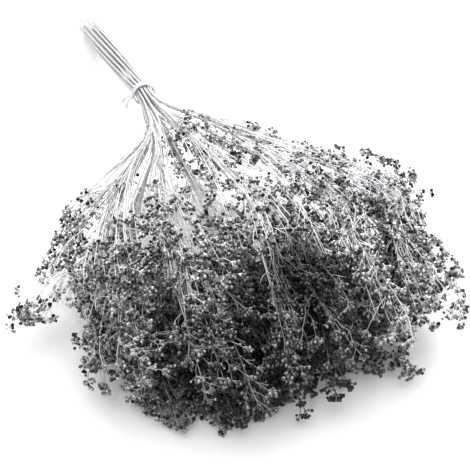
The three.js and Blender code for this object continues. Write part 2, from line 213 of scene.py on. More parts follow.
@dataclass(frozen=True)
class BunchForm:
    """The form of the whole bunch, from its cut stems to its heads."""

    axis_x: float = 7.69
    tie_y: float = 71.84
    tie_height: float = 52.0
    handle_length: float = 198.0
    head_length: float = 338.0
    head_half_height: float = 47.0
    handle_swell: float = 3.6
    swell_run: float = 0.8
    handle_twist: float = 0.7
    cut_end_height: float = 7.2
    cut_end_bend: float = 0.9
    left_edge: EdgeCurve = EdgeCurve(
        (
            (0, 7.25), (10, 7.7), (25, 9.5), (60, 20), (96, 62),
            (117, 84), (160, 111), (197, 127), (250, 140), (345, 141),
        )
    )
    right_edge: EdgeCurve = EdgeCurve(
        (
            (0, 7.25), (10, 7.9), (25, 13), (60, 44), (90, 72),
            (150, 131), (190, 156), (230, 165), (265, 152), (345, 147),
        )
    )
    right_lift: float = 9.0
    lift_run: float = 240.0
    arch_start: float = 20.0
    arch_reach: float = 362.0
    arch_power: float = 1.2
    landing: float = 165.0
    left_rounding: float = 0.26
    left_rounding_power: float = 2.5
    right_rounding: float = 0.135
    right_rounding_power: float = 9.0
    pack_radius: float = 7.25
    furthest_side: float = 180.0
    hollow_side: float = 24.0
    hollow_run: float = 267.0
    hollow_width: float = 21.0
    hollow_length: float = 29.0
    hollow_rim: Span = (0.5, 1.0)
    hollow_top: Span = (40.0, 60.0)
    hollow_depth: float = 0.16
    hollow_wall: float = 1.2
    corner: Swell = Swell(-0.74, 0.2, 9.0)
    dent: Swell = Swell(246.0, 30.0, 0.13)
    bulge: Swell = Swell(252.0, 42.0, 0.07)

    def section(self, s: np.ndarray | float) -> Section:
        """The cross-section at a run past the tie.

        Args:
            s: Run from the tie towards the heads, below zero in the handle.

        Returns:
            Reach to the left and right, half height, centre height, twist and sideways lift there.
        """
        run = np.asarray(s, float)
        back = np.clip(-run, 0.0, None) / self.handle_length
        swell = np.sin(math.pi * np.minimum(back, 1.0) * self.swell_run)
        handle_width = self.pack_radius + self.handle_swell * swell
        handle_centre = self.tie_height - (self.tie_height - self.cut_end_height) * back**self.cut_end_bend
        ahead = np.clip(run, 0.0, None)
        soft = np.hypot(ahead, self.arch_start) - self.arch_start
        arch = np.sin(math.pi * np.minimum(1.0, soft / self.arch_reach)) ** self.arch_power
        head_height = self.pack_radius + (self.head_half_height - self.pack_radius) * arch
        drop = smoothstep(ahead, 0.0, self.landing)
        head_centre = head_height + (self.tie_height - self.pack_radius) * (1 - drop)
        in_handle = run < 0
        return Section(
            left=np.where(in_handle, handle_width, self.left_edge.at(ahead)),
            right=np.where(in_handle, handle_width, self.right_edge.at(ahead)),
            half_height=np.where(in_handle, self.pack_radius, head_height),
            centre=np.where(in_handle, handle_centre, head_centre),
            twist=self.handle_twist * back,
            lift=np.where(in_handle, 0.0, self.right_lift * smoothstep(ahead, 0.0, self.lift_run)),
        )

    def head_end(self, across: np.ndarray | float) -> np.ndarray:
        """How far from the tie the head ends.

        Args:
            across: -1 at the head's left edge and 1 at its right.

        Returns:
            The run at which it ends.
        """
        side = np.minimum(1.0, np.abs(across))
        left = 1 - self.left_rounding * side**self.left_rounding_power
        right = 1 - self.right_rounding * side**self.right_rounding_power
        return self.head_length * np.where(np.asarray(across) < 0, left, right)

    def point(self, place: Place, lowest: float) -> np.ndarray:
        """The point at a place in the bunch.

        Args:
            place: Where it is in the bunch.
            lowest: The least height that it may have.

        Returns:
            Its x, y and z.
        """
        section = self.section(place.s)
        across = place.out * math.cos(place.angle + float(section.twist))
        raised = place.out * math.sin(place.angle + float(section.twist))
        width = float(section.left if across < 0 else section.right)
        height = float(section.centre + section.half_height * raised + section.lift * across)
        return np.array([self.axis_x + width * across, self.tie_y - place.s, max(height, lowest)])

    def standing(self, points: np.ndarray) -> Standing:
        """Where points stand in their cross-sections.

        Args:
            points: An array of points, one a row.

        Returns:
            Their places.
        """
        section = self.section(self.tie_y - points[:, 1])
        offset = points[:, 0] - self.axis_x
        width = np.where(offset < 0, section.left, section.right)
        across = offset / width
        raised = (points[:, 2] - section.centre - section.lift * across) / section.half_height
        return Standing(section, width, across, raised)

    def hollow_share(self, points: np.ndarray, spread: float) -> np.ndarray:
        """How deep points are in the hollow on the head's top, from 0 outside to 1 in its middle.

        Args:
            points: An array of points, one a row.
            spread: How many times wider than the hollow itself the fall to 0 is.

        Returns:
            A share for each point.
        """
        across = (points[:, 0] - self.axis_x - self.hollow_side) / self.hollow_width
        along = (self.tie_y - points[:, 1] - self.hollow_run) / self.hollow_length
        return 1 - smoothstep(np.hypot(across, along) / spread, *self.hollow_rim)

    def keep_inside(self, points: np.ndarray, limit: Reach, lowest: float) -> np.ndarray:
        """Draws points that stand out of the head back towards its axis.

        Args:
            points: An array of points, one a row.
            limit: How far out from the axis they may stand.
            lowest: The least height that a point may have.

        Returns:
            The points, with those that stood out moved to their limit.
        """
        run = self.tie_y - points[:, 1]
        offset = points[:, 0] - self.axis_x
        standing = self.standing(points)
        section = standing.section
        side = self.furthest_side / np.maximum(np.abs(offset), TINY)
        hollow = self.hollow_depth * self.hollow_share(points, self.hollow_wall)
        hollow = hollow * smoothstep(points[:, 2], *self.hollow_top)
        edge = np.where(offset > 0, 1 - self.dent.at(run), 1 + self.bulge.at(run))
        furthest = limit.at(run) * edge * (1 - hollow)
        share = np.minimum(1.0, np.minimum(side, furthest / np.maximum(standing.out(), TINY)))
        across = standing.across * share
        raised = standing.raised * share
        height = section.centre + section.half_height * raised + section.lift * across
        return np.stack(
            [
                self.axis_x + standing.width * across,
                np.maximum(points[:, 1], self.tie_y - self.head_end(across) + self.corner.at(across)),
                np.maximum(height, lowest),
            ],
            axis=1,
        )


@dataclass(frozen=True)
class CoatAndPaintedLight:
    """How bright the silver coat is over the bunch: darker deep inside the head, partly a thinner coat and
    partly painted shade, with painted shade in the hollow on its top, on its front face and on the stalks
    in its front, painted light on its right side and on the capsules near the tie, and a plain darkening of
    the stalks in the neck and the handle.
    """

    form: BunchForm
    outer_share: Span = (0.3, 0.95)
    front_run: Span = (160.0, 255.0)
    right_side: Span = (30.0, 100.0)
    # The face fields lay painted shade on the head's front face.
    face_run: Span = (246.0, 274.0)
    face_side: Span = (-110.0, -40.0)
    face_painted_shade: float = 0.5
    shadow_spread: float = 1.4
    whole: float = 1.05
    deepest: float = 0.15
    outer_gain: float = 0.8
    # Painted light on the head's right side.
    painted_light_right: float = 0.35
    neck_run: Span = (70.0, 190.0)
    capsule_shadow: float = 0.93
    # Painted light on the capsules near the tie.
    capsule_neck_painted_light: float = 0.6
    stalk_shadow: float = 0.9
    stalk_front_run: Span = (230.0, 300.0)
    stalk_right_side: Span = (0.0, 80.0)
    handle_start: Span = (0.0, 40.0)
    # Painted shade on the front stalks and in the hollow, and a plain darkening in the handle and the neck.
    front_painted_shade: float = 0.4
    handle_darkening: float = 0.1
    neck_darkening: float = 0.28
    hollow_painted_shade: float = 0.55
    hollow_painted_shade_spread: float = 1.3
    stalk_gain: float = 1.2
    # Painted light on the stalks of the right side.
    stalk_right_painted_light: float = 0.25

    def coat_light_and_shade(self, points: np.ndarray, hollow_shade_share: float) -> np.ndarray:
        """How bright the coat is at points: darker deep inside the head, partly a thinner coat and partly
        painted shade, with painted shade in the hollow on its top and on its front face, and painted light
        on its right side.

        Args:
            points: An array of points, one a row.
            hollow_shade_share: How much painted shade the hollow on the head's top lays on them.

        Returns:
            A share for each point.
        """
        run = self.form.tie_y - points[:, 1]
        offset = points[:, 0] - self.form.axis_x
        outside = smoothstep(self.form.standing(points).out(), *self.outer_share)
        front = smoothstep(run, *self.front_run)
        right = smoothstep(offset, *self.right_side)
        face = smoothstep(run, *self.face_run) * smoothstep(offset, *self.face_side) * (1 - right)
        # Painted shade in the hollow on the head's top and on its front face.
        shaded = 1 - hollow_shade_share * self.form.hollow_share(points, self.shadow_spread)
        shaded = shaded * (1 - self.face_painted_shade * face)
        # Points deep inside get a thinner coat and painted shade, and the right side gets painted light.
        deep = self.deepest + (self.outer_gain + self.painted_light_right * right) * outside * shaded
        return self.whole + (deep - self.whole) * front

    def neck_share(self, points: np.ndarray) -> np.ndarray:
        """How near the tie points are, from 1 beside it to 0 well inside the head."""
        return 1 - smoothstep(self.form.tie_y - points[:, 1], *self.neck_run)

    def on_capsules(self, points: np.ndarray) -> np.ndarray:
        """How bright the coat is on capsules, with painted light on those near the tie."""
        return self.coat_light_and_shade(points, self.capsule_shadow) + self.capsule_neck_painted_light * self.neck_share(points)

    def on_stalks(self, points: np.ndarray) -> np.ndarray:
        """How bright the coat is on stalks, with painted shade on those in the front of the head and in its
        hollow, painted light on those on its right side, and a plain darkening in the neck and the handle.

        Args:
            points: An array of points, one a row.

        Returns:
            A share for each point.
        """
        front = smoothstep(self.form.tie_y - points[:, 1], *self.stalk_front_run)
        right = smoothstep(points[:, 0] - self.form.axis_x, *self.stalk_right_side)
        handle = smoothstep(points[:, 1] - self.form.tie_y, *self.handle_start)
        # Painted shade in the front and in the hollow, and a plain darkening in the handle and the neck.
        darker_tone_and_painted_shade = (1 - self.front_painted_shade * front * (1 - right)) * (1 - self.handle_darkening * handle)
        darker_tone_and_painted_shade = darker_tone_and_painted_shade * (1 - self.neck_darkening * self.neck_share(points))
        darker_tone_and_painted_shade = darker_tone_and_painted_shade * (1 - self.hollow_painted_shade * self.form.hollow_share(points, self.hollow_painted_shade_spread))
        gain = self.stalk_gain + self.stalk_right_painted_light * right
        return self.coat_light_and_shade(points, self.stalk_shadow) * gain * darker_tone_and_painted_shade


@dataclass(frozen=True)
class Seat:
    """Where a spray stands in the tie, and the walls of the cell that it keeps to."""

    name: str
    out: float
    head_out: float
    angle: float
    half_angle: float
    low: float
    high: float
    is_outer: bool = False
    is_wing: bool = False


@dataclass(frozen=True)
class SeatRing:
    """A ring of stems packed round the centre one."""

    label: str
    count: int
    seat: float
    head_seat: float
    low: float
    wall: float
    turn: float


@dataclass(frozen=True)
class TwigForm:
    """How a kind of twig is built."""

    segments: int
    longest: float
    whorls: tuple[int, ...] = ()


@dataclass
class Twig:
    """A twig of a spray, between two places in its cell."""

    start: Place
    end: Place
    path: np.ndarray
    clusters: np.ndarray
    clearance: float = math.inf


@dataclass
class SprayPlan:
    """The stem and main twigs of one spray, as its solid has them."""

    seat: Seat
    cut_end: float
    tip_end: float
    stem_end: float
    wander_rate: float
    wander_phase: float
    first_reach: float
    twigs: list[Twig] = field(default_factory=list)


@dataclass(frozen=True)
class SprayPlanner:
    """Lays out every spray's stem and main twigs by the same rule as its solid."""

    form: BunchForm
    seed: int = 7919
    centre_wall: float = 0.25
    inner_wall: float = 0.68
    wing_side: float = -0.9
    wing_reach: float = 1.4
    wing_narrows: float = 195.0
    wing_ends: float = 225.0
    wing_bias: float = 0.8
    wing_twig_length: float = 1.35
    shortest_cut: float = 0.8
    underside: float = -0.75
    shortest_tip: float = 0.94
    stem_share: float = 0.76
    stem_spreads: float = 25.0
    stem_settles: float = 170.0
    stem_wander: float = 0.175
    slowest_sway: float = 0.02
    sway_spread: float = 0.012
    stem_rest_height: float = 0.75
    cluster_radius: float = 6.2
    cluster_rest_height: float = 3.2
    near_axis: float = 0.05
    twig_bend: float = 0.7
    forward_bias: float = 0.85
    side_fork: float = 0.4
    twig_room: float = 1.5
    draws: int = 12
    most_low_capsules: float = 1.7
    branches_outer: int = 5
    branches_inner: int = 3
    first_reach_outer: float = 112.0
    first_reach_inner: float = 172.0
    branch_jitter: float = 0.7
    shortest_branch_run: float = 35.0
    branch_run_spread: float = 15.0
    leader_run: float = 4.0
    shortest_twig_run: float = 14.0
    twig_run_spread: float = 12.0
    leader: TwigForm = TwigForm(4, 90.0, (2, 3))
    branch: TwigForm = TwigForm(3, 75.0, (2,))
    twig: TwigForm = TwigForm(1, 30.0)

    def seats(self) -> list[Seat]:
        """The seats of all sprays, the centre one first."""
        seats = [Seat("spray_centre", 0.0, 0.0, 0.0, math.pi, 0.0, self.centre_wall)]
        rings = (
            SeatRing("inner", 7, 0.48, 0.46, self.centre_wall, self.inner_wall, 0.2),
            SeatRing("outer", 13, 0.9, 0.78, self.inner_wall, 1.0, 0.0),
        )
        for ring in rings:
            for slot in range(ring.count):
                angle = ring.turn + 2 * math.pi * slot / ring.count
                is_outer = ring.label == "outer"
                seats.append(
                    Seat(
                        name=f"spray_{ring.label}_{slot + 1}",
                        out=ring.seat,
                        head_out=ring.head_seat,
                        angle=angle,
                        half_angle=math.pi / ring.count,
                        low=ring.low,
                        high=ring.wall,
                        is_outer=is_outer,
                        is_wing=is_outer and math.cos(angle) < self.wing_side,
                    )
                )
        return seats

    def wing_share(self, seat: Seat, s: float) -> float:
        """How much of the wing there is at a run past the tie, which is none for most sprays."""
        if not seat.is_wing:
            return 0.0
        return 1 - float(smoothstep(s, self.wing_narrows, self.wing_ends))

    def place_in_cell(self, seat: Seat, across: float, outwards: float, s: float, margin: float) -> Place:
        """A place in a spray's cell, clear of its walls.

        Args:
            seat: The spray's seat.
            across: Share across the cell, from 0 to 1.
            outwards: Share out through the cell, from 0 to 1.
            s: Run past the tie.
            margin: How far the place keeps from the cell's walls.

        Returns:
            The place.
        """
        section = self.form.section(s)
        width = float(section.left if math.cos(seat.angle) < 0 else section.right)
        height = float(section.half_height)
        outward = math.hypot(width * math.sin(seat.angle), height * math.cos(seat.angle))
        sideways = math.hypot(width * math.cos(seat.angle), height * math.sin(seat.angle))
        out_margin = margin * outward / (width * height)
        wing = self.wing_share(seat, s)
        wall = lerp(seat.high, self.wing_reach, wing)
        low = min(seat.low + (out_margin if seat.low > 0 else 0.0), seat.head_out)
        high = max(wall - (out_margin if wall < 1 else 0.0), seat.head_out)
        out = lerp(low, high, lerp(self.wing_bias * wing, 1.0, outwards))
        sine = margin * sideways / (max(out, self.near_axis) * width * height)
        turn_margin = math.asin(min(1.0, sine)) if seat.half_angle < math.pi else 0.0
        turn = max(0.0, seat.half_angle - turn_margin)
        return Place(out, seat.angle + turn * (2 * across - 1), s)

    def stem_place(self, plan: SprayPlan, s: float) -> Place:
        """Where a spray's main stem is, at a run past the tie."""
        seat = plan.seat
        grow = float(smoothstep(s, self.stem_spreads, self.stem_settles))
        sway = math.sin(s * plan.wander_rate + plan.wander_phase) - math.sin(plan.wander_phase)
        turn = self.stem_wander * seat.half_angle * sway * grow if seat.half_angle < math.pi else 0.0
        return Place(lerp(seat.out, seat.head_out, grow), seat.angle + turn, s)

    def place_on_twig(self, start: Place, end: Place, share: float) -> Place:
        """The place at a share along a twig, which leaves its fork steeply and then bends forward."""
        bend = share**self.twig_bend
        return Place(
            lerp(start.out, end.out, bend),
            lerp(start.angle, end.angle, bend),
            lerp(start.s, end.s, share),
        )

    def twig_path(self, start: Place, end: Place, segments: int) -> np.ndarray:
        """The points of a twig between two places, one a row."""
        points = []
        for step in range(segments + 1):
            share = step / segments
            lowest = lerp(self.stem_rest_height, self.cluster_rest_height, share)
            points.append(self.form.point(self.place_on_twig(start, end, share), lowest))
        return np.array(points)

    def draw_twig(
        self,
        seat: Seat,
        start: Place,
        reach: float,
        form: TwigForm,
        grown: list[Twig],
        random: SeededRandom,
    ) -> Twig:
        """The clearest of several drawn twigs from one fork.

        Args:
            seat: The spray's seat.
            start: The fork.
            reach: How far past the tie the twig ends.
            form: How the twig is built.
            grown: The spray's twigs so far.
            random: The spray's random numbers.

        Returns:
            The twig with the most room.
        """
        longest = form.longest * (self.wing_twig_length if seat.is_wing else 1.0)
        best: Twig | None = None
        for _ in range(self.draws):
            across = random()
            outwards = random()
            end = self.place_in_cell(seat, across, outwards, reach, self.cluster_radius)
            straight = self.twig_path(start, end, 1)
            share = min(1.0, longest / float(np.linalg.norm(straight[1] - straight[0])))
            end.out = lerp(start.out, end.out, share)
            end.angle = lerp(start.angle, end.angle, share)
            path = self.twig_path(start, end, form.segments)
            clusters = path[[*form.whorls, len(path) - 1]]
            twig = Twig(start, end, path, clusters)
            twig.clearance = self.clearance(twig, grown)
            if best is None or twig.clearance > best.clearance:
                best = twig
        return best

    def clearance(self, twig: Twig, grown: list[Twig]) -> float:
        """How far a new twig stays from those that its spray already has."""
        least = math.inf
        own = sample_path(twig.path)
        for other in grown:
            least = min(
                least,
                nearest(twig.clusters, other.clusters) - 2 * self.cluster_radius,
                nearest(twig.clusters, sample_path(other.path)) - self.cluster_radius,
                nearest(other.clusters, own) - self.cluster_radius,
            )
        return least

    def skip_capsules(self, form: TwigForm, random: SeededRandom) -> None:
        """Uses up the random numbers that the solid's own capsules take."""
        for _ in range(3 * len(form.whorls)):
            random()
        low_capsules = math.floor(self.most_low_capsules * random() ** 2 + 0.5)
        for _ in range(3 + min(3, low_capsules) + 1):
            random()

    def plan(self, seat: Seat, number: int) -> SprayPlan:
        """Lays out one spray.

        Args:
            seat: Where it stands.
            number: Its place in the list of seats.

        Returns:
            Its stem and main twigs.
        """
        random = SeededRandom(self.seed + number)
        cut = lerp(self.shortest_cut, 1.0, random())
        reaches_cut = seat.is_outer and math.sin(seat.angle + self.form.handle_twist) < self.underside
        rate = self.slowest_sway + self.sway_spread * random()
        phase = 2 * math.pi * random()
        longest_tip = float(self.form.head_end(seat.out * math.cos(seat.angle)))
        tip_end = longest_tip * lerp(self.shortest_tip, 1.0, random())
        plan = SprayPlan(
            seat=seat,
            cut_end=-self.form.handle_length * (1.0 if reaches_cut else cut),
            tip_end=tip_end,
            stem_end=tip_end * self.stem_share,
            wander_rate=rate,
            wander_phase=phase,
            first_reach=self.first_reach_outer if seat.is_outer else self.first_reach_inner,
        )
        branches = self.branches_outer if seat.is_outer else self.branches_inner
        last = plan.stem_end - self.leader_run
        offset = random()
        for order in range(branches):
            is_leader = order == branches - 1
            step = ((order + offset * self.branch_jitter) / branches) ** self.forward_bias
            reach = tip_end if is_leader else plan.first_reach + (tip_end - plan.first_reach) * step
            run = 0.0 if is_leader else self.shortest_branch_run + self.branch_run_spread * random()
            start = self.stem_place(plan, last if is_leader else min(reach - run, last))
            form = self.leader if is_leader else self.branch
            twig = self.draw_twig(seat, start, reach, form, plan.twigs, random)
            plan.twigs.append(twig)
            self.skip_capsules(form, random)
            side_start = self.place_on_twig(start, twig.end, self.side_fork)
            side_run = self.shortest_twig_run + self.twig_run_spread * random()
            side_reach = min(side_start.s + side_run, tip_end)
            side = self.draw_twig(seat, side_start, side_reach, self.twig, plan.twigs, random)
            if side.clearance > self.twig_room:
                plan.twigs.append(side)
                self.skip_capsules(self.twig, random)
        return plan


def sample_path(path: np.ndarray) -> np.ndarray:
    """Points along a path's straight stretches, four to each."""
    shares = np.array([0.25, 0.5, 0.75, 1.0])[None, :, None]
    return (path[:-1, None] + (path[1:] - path[:-1])[:, None] * shares).reshape(-1, 3)


def nearest(first: np.ndarray, second: np.ndarray) -> float:
    """The least distance between two sets of points."""
    return float(np.linalg.norm(first[:, None] - second[None], axis=2).min())


def unit(vector: np.ndarray) -> np.ndarray:
    """A vector, or rows of vectors, at length 1."""
    return vector / np.maximum(np.linalg.norm(vector, axis=-1, keepdims=True), LEAST_LENGTH)


def square_to(direction: np.ndarray) -> tuple[np.ndarray, np.ndarray]:
    """Two unit vectors square to a direction and to each other."""
    helper = np.array([0.0, 0.0, 1.0] if abs(direction[2]) < NEARLY_UPRIGHT else [1.0, 0.0, 0.0])
    first = unit(np.cross(direction, helper))
    return first, np.cross(direction, first)


@dataclass(frozen=True)
class CapsuleShape:
    """The small mesh of one seed capsule, with its foot at the origin and its tip up +Z."""

    form: CapsuleForm
    radius: float = 1.4
    length: float = 2.9
    sides: int = 5
    tip_shade: float = 0.4
    foot_shade: float = 0.6

    def profile(self) -> list[tuple[float, float]]:
        """Shares of the radius and of the length, from the foot to the tip."""
        if self.form is CapsuleForm.OPENED:
            return [(0.0, 0.0), (0.8, 0.3), (1.05, 0.95), (0.0, 0.5)]
        return [(0.0, 0.0), (0.95, 0.3), (0.8, 0.78), (0.0, 1.0)]

    def build(self) -> bpy.types.Object:
        """Makes the capsule.

        Returns:
            An object that isn't linked to the scene.
        """
        stations = self.profile()
        points = [(0.0, 0.0, stations[0][1] * self.length * MM)]
        for share, height in stations[1:-1]:
            for side in range(self.sides):
                angle = 2 * math.pi * side / self.sides
                reach = share * self.radius * MM
                points.append(
                    (reach * math.cos(angle), reach * math.sin(angle), height * self.length * MM)
                )
        points.append((0.0, 0.0, stations[-1][1] * self.length * MM))
        rings = len(stations) - 2
        top = len(points) - 1
        faces = []
        for side in range(self.sides):
            after = (side + 1) % self.sides
            faces.append((0, 1 + after, 1 + side))
            last = 1 + (rings - 1) * self.sides
            faces.append((top, last + side, last + after))
            for ring in range(rings - 1):
                low = 1 + ring * self.sides
                high = low + self.sides
                faces.append((low + side, low + after, high + after, high + side))
        mesh = bpy.data.meshes.new(f"capsule_{self.form.name.lower()}")
        mesh.from_pydata(points, [], faces)
        # The inside attribute lays painted shade in the opened cup's middle, and darkens the foot and the
        # closed capsule's tip.
        inside = mesh.attributes.new("inside", "FLOAT", "POINT")
        inside.data[top].value = 1.0 if self.form is CapsuleForm.OPENED else self.tip_shade
        inside.data[0].value = self.foot_shade
        mesh.update()
        return bpy.data.objects.new(mesh.name, mesh)


@dataclass
class Network:
    """The lines and capsule points of one spray, gathered before they become a mesh."""

    points: list[np.ndarray] = field(default_factory=list)
    thickness: list[np.ndarray] = field(default_factory=list)
    grades: list[np.ndarray] = field(default_factory=list)
    edges: list[np.ndarray] = field(default_factory=list)
    count: int = 0
    capsules: list[np.ndarray] = field(default_factory=list)
    axes: list[np.ndarray] = field(default_factory=list)
    sizes: list[np.ndarray] = field(default_factory=list)

    def add_line(self, path: np.ndarray, thickness: np.ndarray, grade: Grade) -> None:
        """Adds one line.

        Args:
            path: Its points, one a row.
            thickness: Its radius at each point.
            grade: What it is a line of.
        """
        length = len(path)
        steps = self.count + np.arange(length - 1)
        self.points.append(path)
        self.thickness.append(np.asarray(thickness, float))
        self.grades.append(np.full(length, grade.value))
        self.edges.append(np.stack([steps, steps + 1], axis=1))
        self.count += length

    def add_capsules(self, places: np.ndarray, axes: np.ndarray, sizes: np.ndarray) -> None:
        """Adds capsules, one a row, with their directions and sizes."""
        self.capsules.append(places)
        self.axes.append(axes)
        self.sizes.append(sizes)

    def to_mesh(self, name: str, coat: CoatAndPaintedLight, random: np.random.Generator) -> bpy.types.Mesh:
        """Makes the mesh of lines and points that the trees read.

        Args:
            name: The mesh's name.
            coat: How bright the silver coat is at each place, with its painted light and painted shade.
            random: Draws each capsule's shade, spin and form.

        Returns:
            A mesh in metres, with its attributes set.
        """
        capsules = np.concatenate([np.empty((0, 3)), *self.capsules])
        number = len(capsules)
        points = np.concatenate([*self.points, capsules])
        lines = self.count
        coat_with_painted_light = np.concatenate([coat.on_stalks(points[:lines]), coat.on_capsules(capsules)])
        mesh = bpy.data.meshes.new(name)
        edges = np.concatenate(self.edges)
        mesh.vertices.add(len(points))
        mesh.vertices.foreach_set("co", (points * MM).astype(np.float32).ravel())
        mesh.edges.add(len(edges))
        mesh.edges.foreach_set("vertices", edges.astype(np.int32).ravel())
        axes = np.concatenate([np.tile([0.0, 0.0, 1.0], (lines, 1)), *self.axes])
        sizes = np.concatenate([np.ones(lines), *self.sizes])
        forms = np.concatenate([np.zeros(lines), random.random(number) < OPENED_SHARE])
        drawn = random.beta(*CAPSULE_SHADE_BETA, number)
        # A point's shade is its own tone times the coat, which carries painted light and painted shade.
        shades = np.concatenate([np.full(lines, STALK_SHADE), drawn]) * coat_with_painted_light
        values = {
            "thickness": ("FLOAT", np.concatenate([*self.thickness, np.zeros(number)]) * MM),
            "grade": ("INT", np.concatenate([*self.grades, np.full(number, Grade.CAPSULE.value)])),
            "growth": ("FLOAT_VECTOR", axes),
            "capsule_size": ("FLOAT", sizes),
            "capsule_form": ("INT", forms),
            "spin": ("FLOAT", random.uniform(0, 2 * math.pi, lines + number)),
            "shade": ("FLOAT", shades),
        }
        for label, (kind, data) in values.items():
            attribute = mesh.attributes.new(label, kind, "POINT")
            target = "vector" if kind == "FLOAT_VECTOR" else "value"
            dtype = np.int32 if kind == "INT" else np.float32
            attribute.data.foreach_set(target, np.asarray(data, dtype).ravel())
        mesh.update()
        return mesh


@dataclass(frozen=True)
class Habit:
    """How one kind of branch bears its twigs."""

    least_fullness: float = 0.0
    crown: float = 46.0
    stray_twigs: int = 3
    twig_length: Span = (6.0, 19.0)
    wing_reach: float = 1.3


HEAD_BRANCH = Habit()
EARLY_SPRIG = Habit(least_fullness=0.4)
EDGE_SPRIG = Habit(
    least_fullness=0.6, crown=22.0, stray_twigs=1, twig_length=(3.0, 9.0), wing_reach=1.5
)


@dataclass(frozen=True)
class SprigPatch:
    """A stretch of the head where some more branches stand, most of them long, bare ones at its edge."""

    seats: tuple[str, ...]
    count: int
    fork: Span
    out: Span
    angle: Span
    run: Span
    habit: Habit = EDGE_SPRIG


SPRIG_PATCHES = (
    SprigPatch(("spray_outer_7", "spray_outer_8"), 3, (45, 80), (1.28, 1.47), (2.95, 3.4), (176, 198)),
    SprigPatch(("spray_outer_9",), 3, (120, 165), (0.97, 1.06), (3.35, 3.75), (238, 266)),
    SprigPatch(("spray_outer_1",), 3, (195, 230), (0.84, 0.97), (-0.4, 0.1), (314, 330)),
    SprigPatch(("spray_outer_13",), 2, (200, 240), (0.75, 0.9), (5.35, 5.7), (326, 336)),
    SprigPatch(("spray_outer_9",), 2, (190, 220), (0.7, 0.85), (3.7, 4.1), (300, 312)),
    SprigPatch(("spray_outer_10",), 3, (190, 220), (0.72, 0.9), (4.15, 4.6), (304, 320)),
    SprigPatch(("spray_outer_3",), 5, (80, 125), (0.7, 0.88), (1.0, 1.25), (196, 228), HEAD_BRANCH),
)


@dataclass(frozen=True)
class Patch:
    """A patch of the head, seen from above, that fades out to its edge."""

    x: float
    run: float
    width: float
    length: float
    strength: float

    def at(self, x: float, run: float) -> float:
        """The patch's effect at a place, from 0 at its edge to its full strength in its middle."""
        inside = swelling((x - self.x) / self.width) * swelling((run - self.run) / self.length)
        return self.strength * float(inside)


LEFT_COMB = Patch(x=-108.0, run=236.0, width=45.0, length=42.0, strength=0.5)
RIGHT_COMB = Patch(x=68.0, run=262.0, width=34.0, length=45.0, strength=0.55)
SHOULDER = Patch(x=72.0, run=176.0, width=60.0, length=55.0, strength=0.45)
RIGHT_GAP = Patch(x=135.0, run=155.0, width=35.0, length=35.0, strength=0.6)


@dataclass(frozen=True)
class FullnessMap:
    """Where the head's twigs bear their capsules."""

    form: BunchForm
    head_run: Span = (110.0, 245.0)
    right_side: Span = (40.0, 110.0)
    right_loss: float = 0.5
    left_side: Span = (60.0, 85.0)
    left_run: Span = (85.0, 115.0)
    left_share: float = 0.4
    thin_side: Span = (92.0, 118.0)
    thin_end: Span = (195.0, 215.0)
    thin_loss: float = 0.9
    thin_left_loss: float = 0.5
    thin_left_gain: float = 0.4
    thin_left_run: Span = (140.0, 175.0)
    hollow_loss: float = 0.45
    least: float = 0.08
    spread: float = 0.92

    def hollow_at(self, point: np.ndarray) -> float:
        """How deep a point of the head's upper half is in the hollow on its top, from 0 to 1."""
        raised = float(smoothstep(point[2], *self.form.hollow_top))
        return float(self.form.hollow_share(point[None], 1.0)[0]) * raised

    def at(self, point: np.ndarray) -> float:
        """The share of twigs that bear capsules at a point: few near the tie, most in the front."""
        x = point[0]
        run = self.form.tie_y - point[1]
        head = float(smoothstep(run, *self.head_run))
        right = float(smoothstep(x, *self.right_side))
        left = float(smoothstep(-x, *self.left_side) * smoothstep(run, *self.left_run))
        thin = float(smoothstep(-x, *self.thin_side) * (1 - smoothstep(run, *self.thin_end)))
        thinned = self.thin_left_loss + self.thin_left_gain * smoothstep(run, *self.thin_left_run)
        left *= 1 - thin * float(thinned)
        combed = max(LEFT_COMB.at(x, run), RIGHT_COMB.at(x, run))
        full = head * (1 - self.right_loss * right) * (1 - self.hollow_loss * self.hollow_at(point))
        full *= 1 - combed
        full *= 1 - self.thin_loss * thin
        full = max(full, self.left_share * left, SHOULDER.at(x, run))
        return self.least + self.spread * full * (1 - RIGHT_GAP.at(x, run))


@dataclass(frozen=True)
class Growing:
    """A spray while it grows: its plan, its lines and capsules so far, and its random numbers."""

    plan: SprayPlan
    network: Network
    random: np.random.Generator


@dataclass(frozen=True)
class Foot:
    """Where a twig or an umbel starts, the direction there, and how far out its tips may stand."""

    point: np.ndarray
    direction: np.ndarray
    limit: Reach


